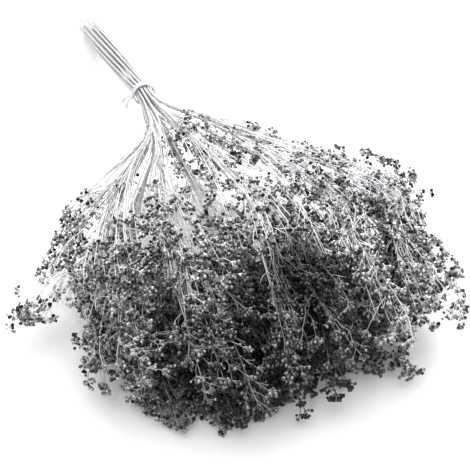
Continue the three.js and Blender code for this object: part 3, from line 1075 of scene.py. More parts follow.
@dataclass(frozen=True)
class FineGrowth:
    """Dresses a planned spray with its fine branches, twigs, pedicels and capsules."""

    planner: SprayPlanner
    seed: int = 4021
    stem_radius: Span = (1.18, 0.5)
    stem_taper: float = 0.8
    stem_step: float = 11.0
    fewest_stem_steps: int = 4
    stem_clearance: float = 0.4
    branch_radius: Span = (0.48, 0.34)
    twig_radius: float = 0.34
    twig_taper: tuple[float, float, float] = (1.0, 0.85, 0.7)
    pedicel_radius: float = 0.23
    pedicel_taper: Span = (1.1, 1.0)
    extra_outer: int = 25
    extra_inner: int = 9
    clump_size: float = 3.2
    clump_spread: float = 0.16
    clump_bias: Span = (1.0, 0.6)
    clumps_per_wing_clump: int = 3
    forward_bias: float = 0.6
    wing_bias: float = 0.4
    reach_spread: float = 6.0
    branch_run: Span = (55.0, 190.0)
    first_fork: Span = (9.0, 45.0)
    last_fork: float = 4.0
    wall_margin: Span = (2.5, 6.5)
    bare_run: float = 22.0
    wing_run: float = -2.0
    crown_reach: float = 7.0
    early_sprigs: int = 4
    early_side: float = 0.1
    early_reach: Span = (55.0, 125.0)
    early_run: Span = (22.0, 45.0)
    early_fork: float = 4.0
    early_margin: float = 1.0
    branch_points: int = 9
    branch_sway: float = 1.8
    sway_rise: Span = (0.45, 1.0)
    sway_share: float = 0.5
    lowest_branch: float = 1.0
    bare_share: Span = (0.3, 0.5)
    crown_jitter: Span = (0.75, 1.25)
    stray_place: Span = (0.15, 1.0)
    twig_jitter: Span = (0.75, 1.2)
    bare_twigs: float = 0.5
    spin_spread: float = 0.3
    twig_spacing: float = 6.6
    spacing_jitter: Span = (0.7, 1.3)
    last_twig: float = 3.0
    twig_tilt: Span = (0.5, 1.0)
    twig_bend: Span = (0.2, 0.7)
    lowest_twig: float = 1.2
    long_twig: float = 11.0
    umbel_count: tuple[int, int] = (7, 12)
    low_umbel_count: tuple[int, int] = (2, 5)
    pedicel_tilt: Span = (0.15, 1.25)
    pedicel_length: Span = (1.8, 4.8)
    axis_spread: float = 0.15
    capsule_size: Span = (0.58, 1.1)
    inner_reach: float = 0.4
    inner_slack: float = 1.12
    outer_reach: Span = (0.93, 1.04)
    wing_reach: Span = (0.82, 1.04)

    def grow(self, plan: SprayPlan, number: int) -> Network:
        """Grows one spray.

        Args:
            plan: Its stem and main twigs.
            number: Its place in the list of seats.

        Returns:
            Its lines and capsules.
        """
        spray = Growing(plan, Network(), np.random.default_rng(self.seed + number))
        self.add_stem(spray)
        for twig in plan.twigs:
            self.add_branch(spray, twig.start, twig.end, HEAD_BRANCH)
        for patch in SPRIG_PATCHES:
            if plan.seat.name in patch.seats:
                self.add_edge_sprigs(spray, patch)
        if math.cos(plan.seat.angle) > self.early_side:
            for _ in range(self.early_sprigs):
                self.add_early_sprig(spray)
        self.add_clumps(spray)
        return spray.network

    def add_stem(self, spray: Growing) -> None:
        """Adds the main stem, from its cut end to its last fork."""
        plan = spray.plan
        steps = max(self.fewest_stem_steps, round((plan.stem_end - plan.cut_end) / self.stem_step))
        runs = np.linspace(plan.cut_end, plan.stem_end, steps + 1)
        lowest = self.planner.stem_rest_height + self.stem_clearance
        places = [self.planner.stem_place(plan, float(run)) for run in runs]
        points = np.array([self.planner.form.point(place, lowest) for place in places])
        taper = np.clip(runs, 0, None) / plan.stem_end
        spray.network.add_line(points, lerp(*self.stem_radius, taper**self.stem_taper), Grade.STEM)

    def add_clumps(self, spray: Growing) -> None:
        """Adds the branches that fill the head, in clumps that share a place in the spray's cell."""
        plan = spray.plan
        random = spray.random
        extra = self.extra_outer if plan.seat.is_outer else self.extra_inner
        clumps = max(1, round(extra / self.clump_size))
        middles = random.random((clumps, 2)) ** self.clump_bias
        last = plan.tip_end - self.crown_reach
        for branch in range(extra):
            clump = branch % clumps
            in_wing = plan.seat.is_wing and clump % self.clumps_per_wing_clump == 0
            seat = plan.seat if in_wing else replace(plan.seat, is_wing=False)
            first = plan.first_reach + (self.wing_run if in_wing else self.bare_run)
            share = ((clump + 0.5) / clumps) ** (1.0 if in_wing else self.forward_bias)
            reach = lerp(first, last, share) + random.normal(0, self.reach_spread)
            back = random.uniform(*self.branch_run)
            fork = min(max(reach - back, random.uniform(*self.first_fork)), plan.stem_end - self.last_fork)
            across, outwards = np.clip(middles[clump] + random.normal(0, self.clump_spread, 2), 0, 1)
            margin = random.uniform(*self.wall_margin)
            if in_wing:
                outwards = outwards**self.wing_bias
            end = self.planner.place_in_cell(
                seat, float(across), float(outwards), min(reach, last), margin
            )
            self.add_branch(spray, self.planner.stem_place(plan, fork), end, HEAD_BRANCH)

    def add_early_sprig(self, spray: Growing) -> None:
        """Adds a short branch between the tie and the head, with few capsules."""
        random = spray.random
        reach = random.uniform(*self.early_reach)
        fork = max(self.early_fork, reach - random.uniform(*self.early_run))
        end = self.planner.place_in_cell(
            spray.plan.seat, random.random(), random.random(), reach, self.early_margin
        )
        self.add_branch(spray, self.planner.stem_place(spray.plan, fork), end, EARLY_SPRIG)

    def add_edge_sprigs(self, spray: Growing, patch: SprigPatch) -> None:
        """Adds the branches of one patch to a spray."""
        draw = spray.random.uniform
        for _ in range(patch.count):
            start = self.planner.stem_place(spray.plan, draw(*patch.fork))
            end = Place(draw(*patch.out), draw(*patch.angle), draw(*patch.run))
            self.add_branch(spray, start, end, patch.habit)

    def add_branch(self, spray: Growing, start: Place, end: Place, habit: Habit) -> None:
        """Adds a branch with its twigs and capsules.

        Args:
            spray: The spray that it is added to.
            start: The fork that it grows from.
            end: Where it ends.
            habit: How it bears its twigs.
        """
        random = spray.random
        path = self.planner.twig_path(start, end, self.branch_points - 1)
        rise = np.linspace(*self.sway_rise, len(path))[:, None]
        sway = random.normal(0, self.branch_sway, (len(path), 3)) * rise
        sway[0] = 0.0
        path = path + np.cumsum(sway, axis=0) * self.sway_share
        limit = self.reach_limit(spray.plan, habit, random)
        path[2:] = self.planner.form.keep_inside(path[2:], limit, self.lowest_branch)
        spray.network.add_line(path, np.linspace(*self.branch_radius, len(path)), Grade.BRANCH)
        lengths = np.linalg.norm(np.diff(path, axis=0), axis=1)
        total = float(lengths.sum())
        bare = max(
            total * random.uniform(*self.bare_share),
            total - habit.crown * random.uniform(*self.crown_jitter),
        )
        for _ in range(habit.stray_twigs):
            foot = Foot(*point_on(path, lengths, bare * random.uniform(*self.stray_place)), limit)
            length = random.uniform(*habit.twig_length)
            self.add_twig(spray, foot, random.uniform(0, 2 * math.pi), length, False)
        fullness = FullnessMap(self.planner.form)
        along = bare
        spin = random.uniform(0, 2 * math.pi)
        while along < total - self.last_twig:
            foot = Foot(*point_on(path, lengths, along), limit)
            left = (total - along) / max(total - bare, TINY)
            length = lerp(*habit.twig_length, left) * random.uniform(*self.twig_jitter)
            bears = random.random() < max(habit.least_fullness, fullness.at(foot.point))
            if bears or random.random() < self.bare_twigs * (1 - fullness.hollow_at(foot.point)):
                self.add_twig(spray, foot, spin, length, bears)
            spin += GOLDEN_ANGLE + random.normal(0, self.spin_spread)
            along += self.twig_spacing * random.uniform(*self.spacing_jitter)
        self.add_umbel(spray, Foot(path[-1], unit(path[-1] - path[-2]), limit), self.umbel_count)

    def reach_limit(self, plan: SprayPlan, habit: Habit, random: np.random.Generator) -> Reach:
        """How far out from the bunch's axis one branch's capsules may stand."""
        if not plan.seat.is_outer:
            return Reach(max(plan.seat.high, self.inner_reach) * self.inner_slack)
        wing = habit.wing_reach if plan.seat.is_wing else 1.0
        span = self.wing_reach if plan.seat.is_wing else self.outer_reach
        return Reach(plan.seat.high * random.uniform(*span), wing)

    def add_twig(self, spray: Growing, foot: Foot, spin: float, length: float, bears: bool) -> None:
        """Adds a side twig that curves forward, with an umbel at its tip and a few capsules on the way.

        Args:
            spray: The spray that it is added to.
            foot: Where it leaves the branch.
            spin: The angle round the branch that it leaves at.
            length: Its length.
            bears: Whether it bears capsules, or has shed them.
        """
        random = spray.random
        tilt = random.uniform(*self.twig_tilt)
        first, second = square_to(foot.direction)
        sideways = first * math.cos(spin) + second * math.sin(spin)
        leave = foot.direction * math.cos(tilt) + sideways * math.sin(tilt)
        arrive = unit(leave + foot.direction * random.uniform(*self.twig_bend))
        middle = foot.point + leave * length * 0.5
        path = np.array([foot.point, middle, middle + arrive * length * 0.5])
        path[1:] = self.planner.form.keep_inside(path[1:], foot.limit, self.lowest_twig)
        spray.network.add_line(path, np.array(self.twig_taper) * self.twig_radius, Grade.TWIG)
        if not bears:
            return
        heading = unit(path[2] - path[1])
        self.add_umbel(spray, Foot(path[2], heading, foot.limit), self.umbel_count)
        if length > self.long_twig:
            self.add_umbel(spray, Foot(path[1], heading, foot.limit), self.low_umbel_count)

    def add_umbel(self, spray: Growing, foot: Foot, count: tuple[int, int]) -> None:
        """Adds pedicels that spread from one point, each with its capsule.

        Args:
            spray: The spray that they are added to.
            foot: Where they spring from.
            count: The least number of them, and the number that they stay below.
        """
        random = spray.random
        number = int(random.integers(*count))
        turns = GOLDEN_ANGLE * np.arange(number) + random.uniform(0, 2 * math.pi)
        tilts = random.uniform(*self.pedicel_tilt, number)
        first, second = square_to(foot.direction)
        sideways = first * np.cos(turns)[:, None] + second * np.sin(turns)[:, None]
        headings = foot.direction * np.cos(tilts)[:, None] + sideways * np.sin(tilts)[:, None]
        reach = random.uniform(*self.pedicel_length, number)
        tips = foot.point + headings * reach[:, None]
        tips = self.planner.form.keep_inside(tips, foot.limit, 0.0)
        axes = unit(unit(tips - foot.point) + random.normal(0, self.axis_spread, (number, 3)))
        sizes = random.uniform(*self.capsule_size, number)
        drop = np.maximum(-axes[:, 2], 0.0) * CapsuleShape.length
        tips[:, 2] = np.maximum(tips[:, 2], (drop + CapsuleShape.radius) * sizes)
        radii = np.array(self.pedicel_taper) * self.pedicel_radius
        for tip in tips:
            spray.network.add_line(np.array([foot.point, tip]), radii, Grade.TWIG)
        spray.network.add_capsules(tips, axes, sizes)


def point_on(path: np.ndarray, lengths: np.ndarray, along: float) -> tuple[np.ndarray, np.ndarray]:
    """The point and direction at a distance along a path."""
    covered = 0.0
    for index, length in enumerate(lengths):
        if along <= covered + length or index == len(lengths) - 1:
            share = (along - covered) / max(length, LEAST_LENGTH)
            step = path[index + 1] - path[index]
            return path[index] + step * share, unit(step)
        covered += length
    raise ValueError("the path has no length")


def feed(node: bpy.types.Node, feeds: dict[str | int, object]) -> None:
    """Sets a node's inputs to values, or links them to the sockets that feed them.

    Args:
        node: The node.
        feeds: A value or a socket for each named or numbered input.
    """
    for key, value in feeds.items():
        if isinstance(value, bpy.types.NodeSocket):
            node.id_data.links.new(value, node.inputs[key])
        else:
            node.inputs[key].default_value = value


def add_node(
    tree: bpy.types.NodeTree, kind: str, feeds: dict[str | int, object] | None = None, **settings: object
) -> bpy.types.Node:
    """Adds a node.

    Args:
        tree: The tree that it goes in.
        kind: Its type's name.
        feeds: What its inputs are set to or linked to.
        settings: Properties to set on it.

    Returns:
        The node.
    """
    node = tree.nodes.new(kind)
    for key, value in settings.items():
        setattr(node, key, value)
    feed(node, feeds or {})
    return node


def add_sockets(tree: bpy.types.NodeTree, side: str, kinds: dict[str, str]) -> None:
    """Adds named sockets to the input or the output side of a tree."""
    for label, kind in kinds.items():
        tree.interface.new_socket(label, in_out=side, socket_type=kind)


def calculate(
    tree: bpy.types.NodeTree, operation: str, *values: object, clamp: bool = False
) -> bpy.types.NodeSocket:
    """The result of a sum in a shader tree.

    Args:
        tree: The tree.
        operation: The sum's name.
        values: The numbers or sockets that it works on.
        clamp: Whether the result is kept from 0 to 1.

    Returns:
        The socket that gives the result.
    """
    feeds = dict(enumerate(values))
    return add_node(tree, "ShaderNodeMath", feeds, operation=operation, use_clamp=clamp).outputs[0]


def mix_colours(
    tree: bpy.types.NodeTree, share: bpy.types.NodeSocket, first: object, second: object
) -> bpy.types.NodeSocket:
    """The colour at a share of the way from the first to the second."""
    feeds = {"Factor": share, 6: first, 7: second}
    return add_node(tree, "ShaderNodeMix", feeds, data_type="RGBA").outputs[2]


def add_relief(
    tree: bpy.types.NodeTree, height: bpy.types.NodeSocket, strength: float, distance: float
) -> bpy.types.NodeSocket:
    """The normal of a surface with a fine relief."""
    feeds = {"Strength": strength, "Distance": distance, "Height": height}
    return add_node(tree, "ShaderNodeBump", feeds).outputs["Normal"]


def new_material(name: str) -> tuple[bpy.types.Material, bpy.types.Node]:
    """A new material, and its shader."""
    material = bpy.data.materials.new(name)
    material.use_nodes = True
    return material, material.node_tree.nodes["Principled BSDF"]


def place_new(name: str, data: bpy.types.ID) -> bpy.types.Object:
    """A new object that holds some data, linked to the scene."""
    item = bpy.data.objects.new(name, data)
    bpy.context.scene.collection.objects.link(item)
    return item


def read_attribute(tree: bpy.types.NodeTree, name: str, kind: str) -> bpy.types.NodeSocket:
    """The value of a named attribute of the mesh that a tree works on."""
    node = add_node(tree, "GeometryNodeInputNamedAttribute", {"Name": name}, data_type=kind)
    return node.outputs["Attribute"]


def pick_grade(
    tree: bpy.types.NodeTree, entry: bpy.types.Node, grade: Grade
) -> bpy.types.NodeSocket:
    """The part of a tree's mesh that has one grade."""
    feeds = {2: read_attribute(tree, "grade", "INT"), 3: grade.value}
    same = add_node(tree, "FunctionNodeCompare", feeds, data_type="INT", operation="EQUAL")
    feeds = {"Geometry": entry.outputs["Geometry"], "Selection": same.outputs["Result"]}
    separate = add_node(tree, "GeometryNodeSeparateGeometry", feeds, domain="POINT")
    return separate.outputs["Selection"]


def open_tree(name: str, kinds: dict[str, str]) -> tuple[bpy.types.NodeTree, bpy.types.Node]:
    """Starts a geometry tree.

    Args:
        name: Its name.
        kinds: The socket type of each named input, besides its geometry and material.

    Returns:
        The tree and its input node.
    """
    tree = bpy.data.node_groups.new(name, "GeometryNodeTree")
    geometry = {"Geometry": "NodeSocketGeometry"}
    add_sockets(tree, "INPUT", {**geometry, **kinds, "Material": "NodeSocketMaterial"})
    add_sockets(tree, "OUTPUT", geometry)
    return tree, add_node(tree, "NodeGroupInput")


def close_tree(
    tree: bpy.types.NodeTree, entry: bpy.types.Node, geometry: bpy.types.NodeSocket
) -> None:
    """Ends a tree: smooth shading, real geometry, and the material that its input names."""
    for kind in ("GeometryNodeSetShadeSmooth", "GeometryNodeRealizeInstances"):
        geometry = add_node(tree, kind, {"Geometry": geometry}).outputs["Geometry"]
    feeds = {"Geometry": geometry, "Material": entry.outputs["Material"]}
    paint = add_node(tree, "GeometryNodeSetMaterial", feeds)
    add_node(tree, "NodeGroupOutput", {"Geometry": paint.outputs["Geometry"]})


@dataclass(frozen=True)
class StalkTree:
    """The tree that turns lines into round stalks of their own thickness."""

    stem_sides: int = 8
    branch_sides: int = 5
    twig_sides: int = 3

    def inputs(self) -> dict[str, int]:
        """The values of the tree's own inputs."""
        return {
            "Stem sides": self.stem_sides,
            "Branch sides": self.branch_sides,
            "Twig sides": self.twig_sides,
        }

    def build(self) -> bpy.types.NodeTree:
        """Makes the tree."""
        labels = list(self.inputs())
        tree, entry = open_tree("stalks", dict.fromkeys(labels, "NodeSocketInt"))
        join = add_node(tree, "GeometryNodeJoinGeometry")
        for grade, label in zip((Grade.STEM, Grade.BRANCH, Grade.TWIG), labels):
            feed(join, {"Geometry": self.sweep(tree, entry, grade, label)})
        close_tree(tree, entry, join.outputs["Geometry"])
        return tree

    def sweep(
        self, tree: bpy.types.NodeTree, entry: bpy.types.Node, grade: Grade, sides: str
    ) -> bpy.types.NodeSocket:
        """Tubes along the lines of one grade.

        Args:
            tree: The tree.
            entry: Its input node.
            grade: Which lines.
            sides: The name of the input that gives the tubes' sides.

        Returns:
            The tubes.
        """
        curve = add_node(tree, "GeometryNodeMeshToCurve", {"Mesh": pick_grade(tree, entry, grade)})
        feeds = {"Radius": 1.0, "Resolution": entry.outputs[sides]}
        outline = add_node(tree, "GeometryNodeCurvePrimitiveCircle", feeds, mode="RADIUS")
        feeds = {
            "Curve": curve.outputs["Curve"],
            "Profile Curve": outline.outputs["Curve"],
            "Scale": read_attribute(tree, "thickness", "FLOAT"),
            "Fill Caps": True,
        }
        return add_node(tree, "GeometryNodeCurveToMesh", feeds).outputs["Mesh"]


@dataclass(frozen=True)
class CapsuleTree:
    """The tree that sets a capsule on each point of the capsule grade."""

    closed: bpy.types.Object
    opened: bpy.types.Object

    def inputs(self) -> dict[str, bpy.types.Object]:
        """The values of the tree's own inputs."""
        return {"Closed capsule": self.closed, "Opened capsule": self.opened}

    def build(self) -> bpy.types.NodeTree:
        """Makes the tree."""
        labels = list(self.inputs())
        tree, entry = open_tree("capsules", dict.fromkeys(labels, "NodeSocketObject"))
        shapes = add_node(tree, "GeometryNodeJoinGeometry")
        for label in reversed(labels):
            feeds = {"Object": entry.outputs[label], "As Instance": True}
            info = add_node(tree, "GeometryNodeObjectInfo", feeds)
            feed(shapes, {"Geometry": info.outputs["Geometry"]})
        feeds = {"Vector": read_attribute(tree, "growth", "FLOAT_VECTOR")}
        align = add_node(tree, "FunctionNodeAlignRotationToVector", feeds, axis="Z")
        feeds = {"Axis": (0.0, 0.0, 1.0), "Angle": read_attribute(tree, "spin", "FLOAT")}
        spin = add_node(tree, "FunctionNodeAxisAngleToRotation", feeds)
        feeds = {"Rotation": align.outputs["Rotation"], "Rotate By": spin.outputs["Rotation"]}
        turn = add_node(tree, "FunctionNodeRotateRotation", feeds, rotation_space="LOCAL")
        feeds = {
            "Points": pick_grade(tree, entry, Grade.CAPSULE),
            "Instance": shapes.outputs["Geometry"],
            "Pick Instance": True,
            "Instance Index": read_attribute(tree, "capsule_form", "INT"),
            "Rotation": turn.outputs["Rotation"],
            "Scale": read_attribute(tree, "capsule_size", "FLOAT"),
        }
        place = add_node(tree, "GeometryNodeInstanceOnPoints", feeds)
        close_tree(tree, entry, place.outputs["Instances"])
        return tree


@dataclass
class Grower:
    """Runs one tree over meshes of lines and points, to make finished pieces."""

    tree: bpy.types.NodeTree
    inputs: dict[str, object]

    def make(
        self, mesh: bpy.types.Mesh, name: str, material: bpy.types.Material
    ) -> bpy.types.Object:
        """Makes one piece.

        Args:
            mesh: The lines and points.
            name: The piece's name.
            material: Its finish.

        Returns:
            The piece as a plain mesh, linked to the scene.
        """
        source = place_new(f"{name}_lines", mesh)
        modifier = source.modifiers.new("grow", "NODES")
        modifier.node_group = self.tree
        values = {**self.inputs, "Material": material}
        for item in self.tree.interface.items_tree:
            if item.in_out == "INPUT" and item.name in values:
                modifier[item.identifier] = values[item.name]
        graph = bpy.context.evaluated_depsgraph_get()
        grown = bpy.data.meshes.new_from_object(
            source.evaluated_get(graph), preserve_all_data_layers=True, depsgraph=graph
        )
        grown.name = name
        piece = place_new(name, grown)
        bpy.data.objects.remove(source)
        LOG.info("%s: %d triangles", name, triangles(piece))
        return piece


@dataclass(frozen=True)
class Coat:
    """Values of the silver coat on one kind of surface."""

    bright: Colour
    dark: Colour
    bare: Colour
    metallic: float
    roughness: float
    bare_share: float
    grain_scale: float
    bump: float


STALK_COAT = Coat(
    bright=(0.80, 0.80, 0.815),
    dark=(0.05, 0.048, 0.048),
    bare=(0.33, 0.31, 0.27),
    metallic=0.3,
    roughness=0.5,
    bare_share=0.06,
    grain_scale=900.0,
    bump=0.35,
)
CAPSULE_COAT = Coat(
    bright=(0.72, 0.72, 0.74),
    dark=(0.016, 0.016, 0.018),
    bare=(0.12, 0.10, 0.08),
    metallic=0.55,
    roughness=0.5,
    bare_share=0.04,
    grain_scale=1400.0,
    bump=0.5,
)


@dataclass(frozen=True)
class SilverGroup:
    """The shader group of silver paint that has settled unevenly on dry plant matter."""

    grain_detail: float = 3.0
    grain_roughness: float = 0.6
    grain_share: float = 0.5
    patch_scale: float = 170.0
    patch_detail: float = 2.0
    bare_threshold: float = 0.72
    bare_sharpness: float = 9.0
    bare_metal_loss: float = 0.8
    roughness_spread: float = 0.3

    def build(self) -> bpy.types.NodeTree:
        """Makes the group.

        Returns:
            A group that puts out a colour, a roughness, a metal share and a height.
        """
        group = bpy.data.node_groups.new("silver_coat", "ShaderNodeTree")
        colour, number = "NodeSocketColor", "NodeSocketFloat"
        colours = dict.fromkeys(("Bright", "Dark", "Bare"), colour)
        numbers = dict.fromkeys(("Shade", "Bare share", "Metal", "Roughness", "Scale"), number)
        results = dict.fromkeys(("Roughness", "Metal", "Height"), number)
        add_sockets(group, "INPUT", {**colours, **numbers})
        add_sockets(group, "OUTPUT", {"Colour": colour, **results})
        entry = add_node(group, "NodeGroupInput").outputs
        where = add_node(group, "ShaderNodeTexCoord").outputs["Object"]
        feeds = {
            "Vector": where,
            "Scale": entry["Scale"],
            "Detail": self.grain_detail,
            "Roughness": self.grain_roughness,
        }
        grain = add_node(group, "ShaderNodeTexNoise", feeds).outputs["Fac"]
        feeds = {"Vector": where, "Scale": self.patch_scale, "Detail": self.patch_detail}
        patches = add_node(group, "ShaderNodeTexNoise", feeds).outputs["Fac"]
        settled = calculate(group, "MULTIPLY_ADD", grain, self.grain_share, entry["Shade"])
        bright = calculate(group, "SUBTRACT", settled, self.grain_share / 2, clamp=True)
        paint = mix_colours(group, bright, entry["Dark"], entry["Bright"])
        threshold = calculate(group, "SUBTRACT", self.bare_threshold, entry["Bare share"])
        over = calculate(group, "SUBTRACT", patches, threshold)
        bared = calculate(group, "MULTIPLY", over, self.bare_sharpness, clamp=True)
        kept = calculate(group, "MULTIPLY_ADD", bared, -self.bare_metal_loss, 1.0)
        smoothest = calculate(group, "SUBTRACT", entry["Roughness"], self.roughness_spread / 2)
        feeds = {
            "Colour": mix_colours(group, bared, paint, entry["Bare"]),
            "Roughness": calculate(group, "MULTIPLY_ADD", grain, self.roughness_spread, smoothest),
            "Metal": calculate(group, "MULTIPLY", kept, entry["Metal"]),
            "Height": grain,
        }
        add_node(group, "NodeGroupOutput", feeds)
        return group


@dataclass(frozen=True)
class SilverFinish:
    """A silver-coated plant surface."""

    name: str
    coat: Coat
    relief: float = 0.0003

    def build(self, group: bpy.types.NodeTree) -> bpy.types.Material:
        """Makes the material.

        Args:
            group: The silver coat group.

        Returns:
            The material.
        """
        material, shader = new_material(self.name)
        tree = material.node_tree
        # The shade attribute carries painted light and painted shade along with the coat's own tone. The
        # inside attribute turns it to the dark colour as painted shade in the opened cup's middle, and
        # partly at the foot and the closed tip.
        shade = add_node(tree, "ShaderNodeAttribute", attribute_name="shade").outputs["Fac"]
        inside = add_node(tree, "ShaderNodeAttribute", attribute_name="inside").outputs["Fac"]
        clear_of_painted_shade = calculate(tree, "SUBTRACT", 1.0, inside)
        feeds = {
            "Bright": (*self.coat.bright, 1.0),
            "Dark": (*self.coat.dark, 1.0),
            "Bare": (*self.coat.bare, 1.0),
            "Shade": calculate(tree, "MULTIPLY", shade, clear_of_painted_shade),
            "Bare share": self.coat.bare_share,
            "Metal": self.coat.metallic,
            "Roughness": self.coat.roughness,
            "Scale": self.coat.grain_scale,
        }
        paint = add_node(tree, "ShaderNodeGroup", feeds, node_tree=group).outputs
        feeds = {
            "Base Color": paint["Colour"],
            "Roughness": paint["Roughness"],
            "Metallic": paint["Metal"],
            "Normal": add_relief(tree, paint["Height"], self.coat.bump, self.relief),
        }
        feed(shader, feeds)
        return material


@dataclass(frozen=True)
class CordFinish:
    """Pale matt cotton cord with a faint silver dust."""

    pale: Colour = (0.80, 0.78, 0.83)
    darker_tone_and_painted_shade: Colour = (0.60, 0.58, 0.63)
    roughness: float = 0.85
    sheen: float = 0.3
    fibre_scale: float = 1900.0
    fibre_detail: float = 4.0
    bump: float = 0.6
    relief: float = 0.0002

    def build(self) -> bpy.types.Material:
        """Makes the material."""
        material, shader = new_material("pale_cord")
        tree = material.node_tree
        where = add_node(tree, "ShaderNodeTexCoord").outputs["Object"]
        feeds = {"Vector": where, "Scale": self.fibre_scale, "Detail": self.fibre_detail}
        fibre = add_node(tree, "ShaderNodeTexNoise", feeds).outputs["Fac"]
        feeds = {
            "Base Color": mix_colours(tree, fibre, (*self.darker_tone_and_painted_shade, 1.0), (*self.pale, 1.0)),
            "Roughness": self.roughness,
            "Sheen Weight": self.sheen,
            "Normal": add_relief(tree, fibre, self.bump, self.relief),
        }
        feed(shader, feeds)
        return material


@dataclass(frozen=True)
class Softbox:
    """A square light: its name, its place, its side and its power in watts."""

    name: str
    place: tuple[float, float, float]
    size: float
    power: float


@dataclass(frozen=True)
class Studio:
    """The floor, the light and the camera."""

    azimuth: float = -24.3
    elevation: float = 48.0
    distance: float = 0.68
    target: tuple[float, float, float] = (0.01839, -0.10646, 0.034)
    focal_pixels: float = 850.0
    frame_pixels: float = 470.0
    sensor: float = 36.0
    clip: Span = (0.01, 50.0)
    floor_size: float = 12.0
    floor_colour: Colour = (0.92, 0.92, 0.93)
    floor_roughness: float = 0.75
    surroundings: float = 0.85
    lit_point: tuple[float, float, float] = (0.0, -0.08, 0.04)
    softboxes: tuple[Softbox, ...] = (
        Softbox("softbox_above", (0.0, 0.35, 1.5), 1.7, 12.0),
        Softbox("softbox_back", (0.75, 0.7, 0.9), 0.5, 13.0),
    )

    def add_floor(self) -> None:
        """Adds the pale floor."""
        half = self.floor_size / 2
        mesh = bpy.data.meshes.new("floor")
        corners = [(-half, -half, 0), (half, -half, 0), (half, half, 0), (-half, half, 0)]
        mesh.from_pydata(corners, [], [(0, 1, 2, 3)])
        floor = place_new("floor", mesh)
        material, shader = new_material("pale_floor")
        feed(shader, {"Base Color": (*self.floor_colour, 1.0), "Roughness": self.floor_roughness})
        mesh.materials.append(material)

    def add_lights(self) -> None:
        """Adds the white surroundings and the softboxes."""
        world = bpy.data.worlds.new("studio")
        world.use_nodes = True
        white = {"Color": (1.0, 1.0, 1.0, 1.0), "Strength": self.surroundings}
        feed(world.node_tree.nodes["Background"], white)
        bpy.context.scene.world = world
        for softbox in self.softboxes:
            data = bpy.data.lights.new(softbox.name, "AREA")
            data.shape = "SQUARE"
            data.size = softbox.size
            data.energy = softbox.power
            light = place_new(softbox.name, data)
            light.location = Vector(softbox.place)
            facing = Vector(self.lit_point) - Vector(softbox.place)
            light.rotation_euler = facing.to_track_quat("-Z", "Y").to_euler()

    def add_camera(self) -> None:
        """Adds the camera at the photograph's viewing angle."""
        turn = math.radians(self.azimuth)
        tilt = math.radians(self.elevation)
        back = Vector(
            (math.sin(turn) * math.cos(tilt), -math.cos(turn) * math.cos(tilt), math.sin(tilt))
        )
        data = bpy.data.cameras.new("camera")
        data.sensor_width = self.sensor
        data.lens = self.focal_pixels / self.frame_pixels * self.sensor
        data.clip_start, data.clip_end = self.clip
        camera = place_new("camera", data)
        camera.location = Vector(self.target) + back * self.distance
        camera.rotation_euler = (-back).to_track_quat("-Z", "Y").to_euler()
        bpy.context.scene.camera = camera


@dataclass
class SprayMaker:
    """Makes the finished pieces of all sprays."""

    growth: FineGrowth
    stalk_grower: Grower
    capsule_grower: Grower
    stalk_finish: bpy.types.Material
    capsule_finish: bpy.types.Material
    seed: int = 28147

    def make(self, seat: Seat, number: int) -> int:
        """Makes one spray's pieces, which stand for its solid.

        Args:
            seat: Where it stands.
            number: Its place in the list of seats.

        Returns:
            How many triangles they have.
        """
        planner = self.growth.planner
        network = self.growth.grow(planner.plan(seat, number), number)
        random = np.random.default_rng(self.seed + number)
        mesh = network.to_mesh(f"{seat.name}_plan", CoatAndPaintedLight(planner.form), random)
        pieces = (
            self.stalk_grower.make(mesh, f"{seat.name}_stalks", self.stalk_finish),
            self.capsule_grower.make(mesh, f"{seat.name}_capsules", self.capsule_finish),
        )
        for piece in pieces:
            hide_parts(seat.name)
            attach(piece, "root")
        bpy.data.meshes.remove(mesh)
        return sum(triangles(piece) for piece in pieces)


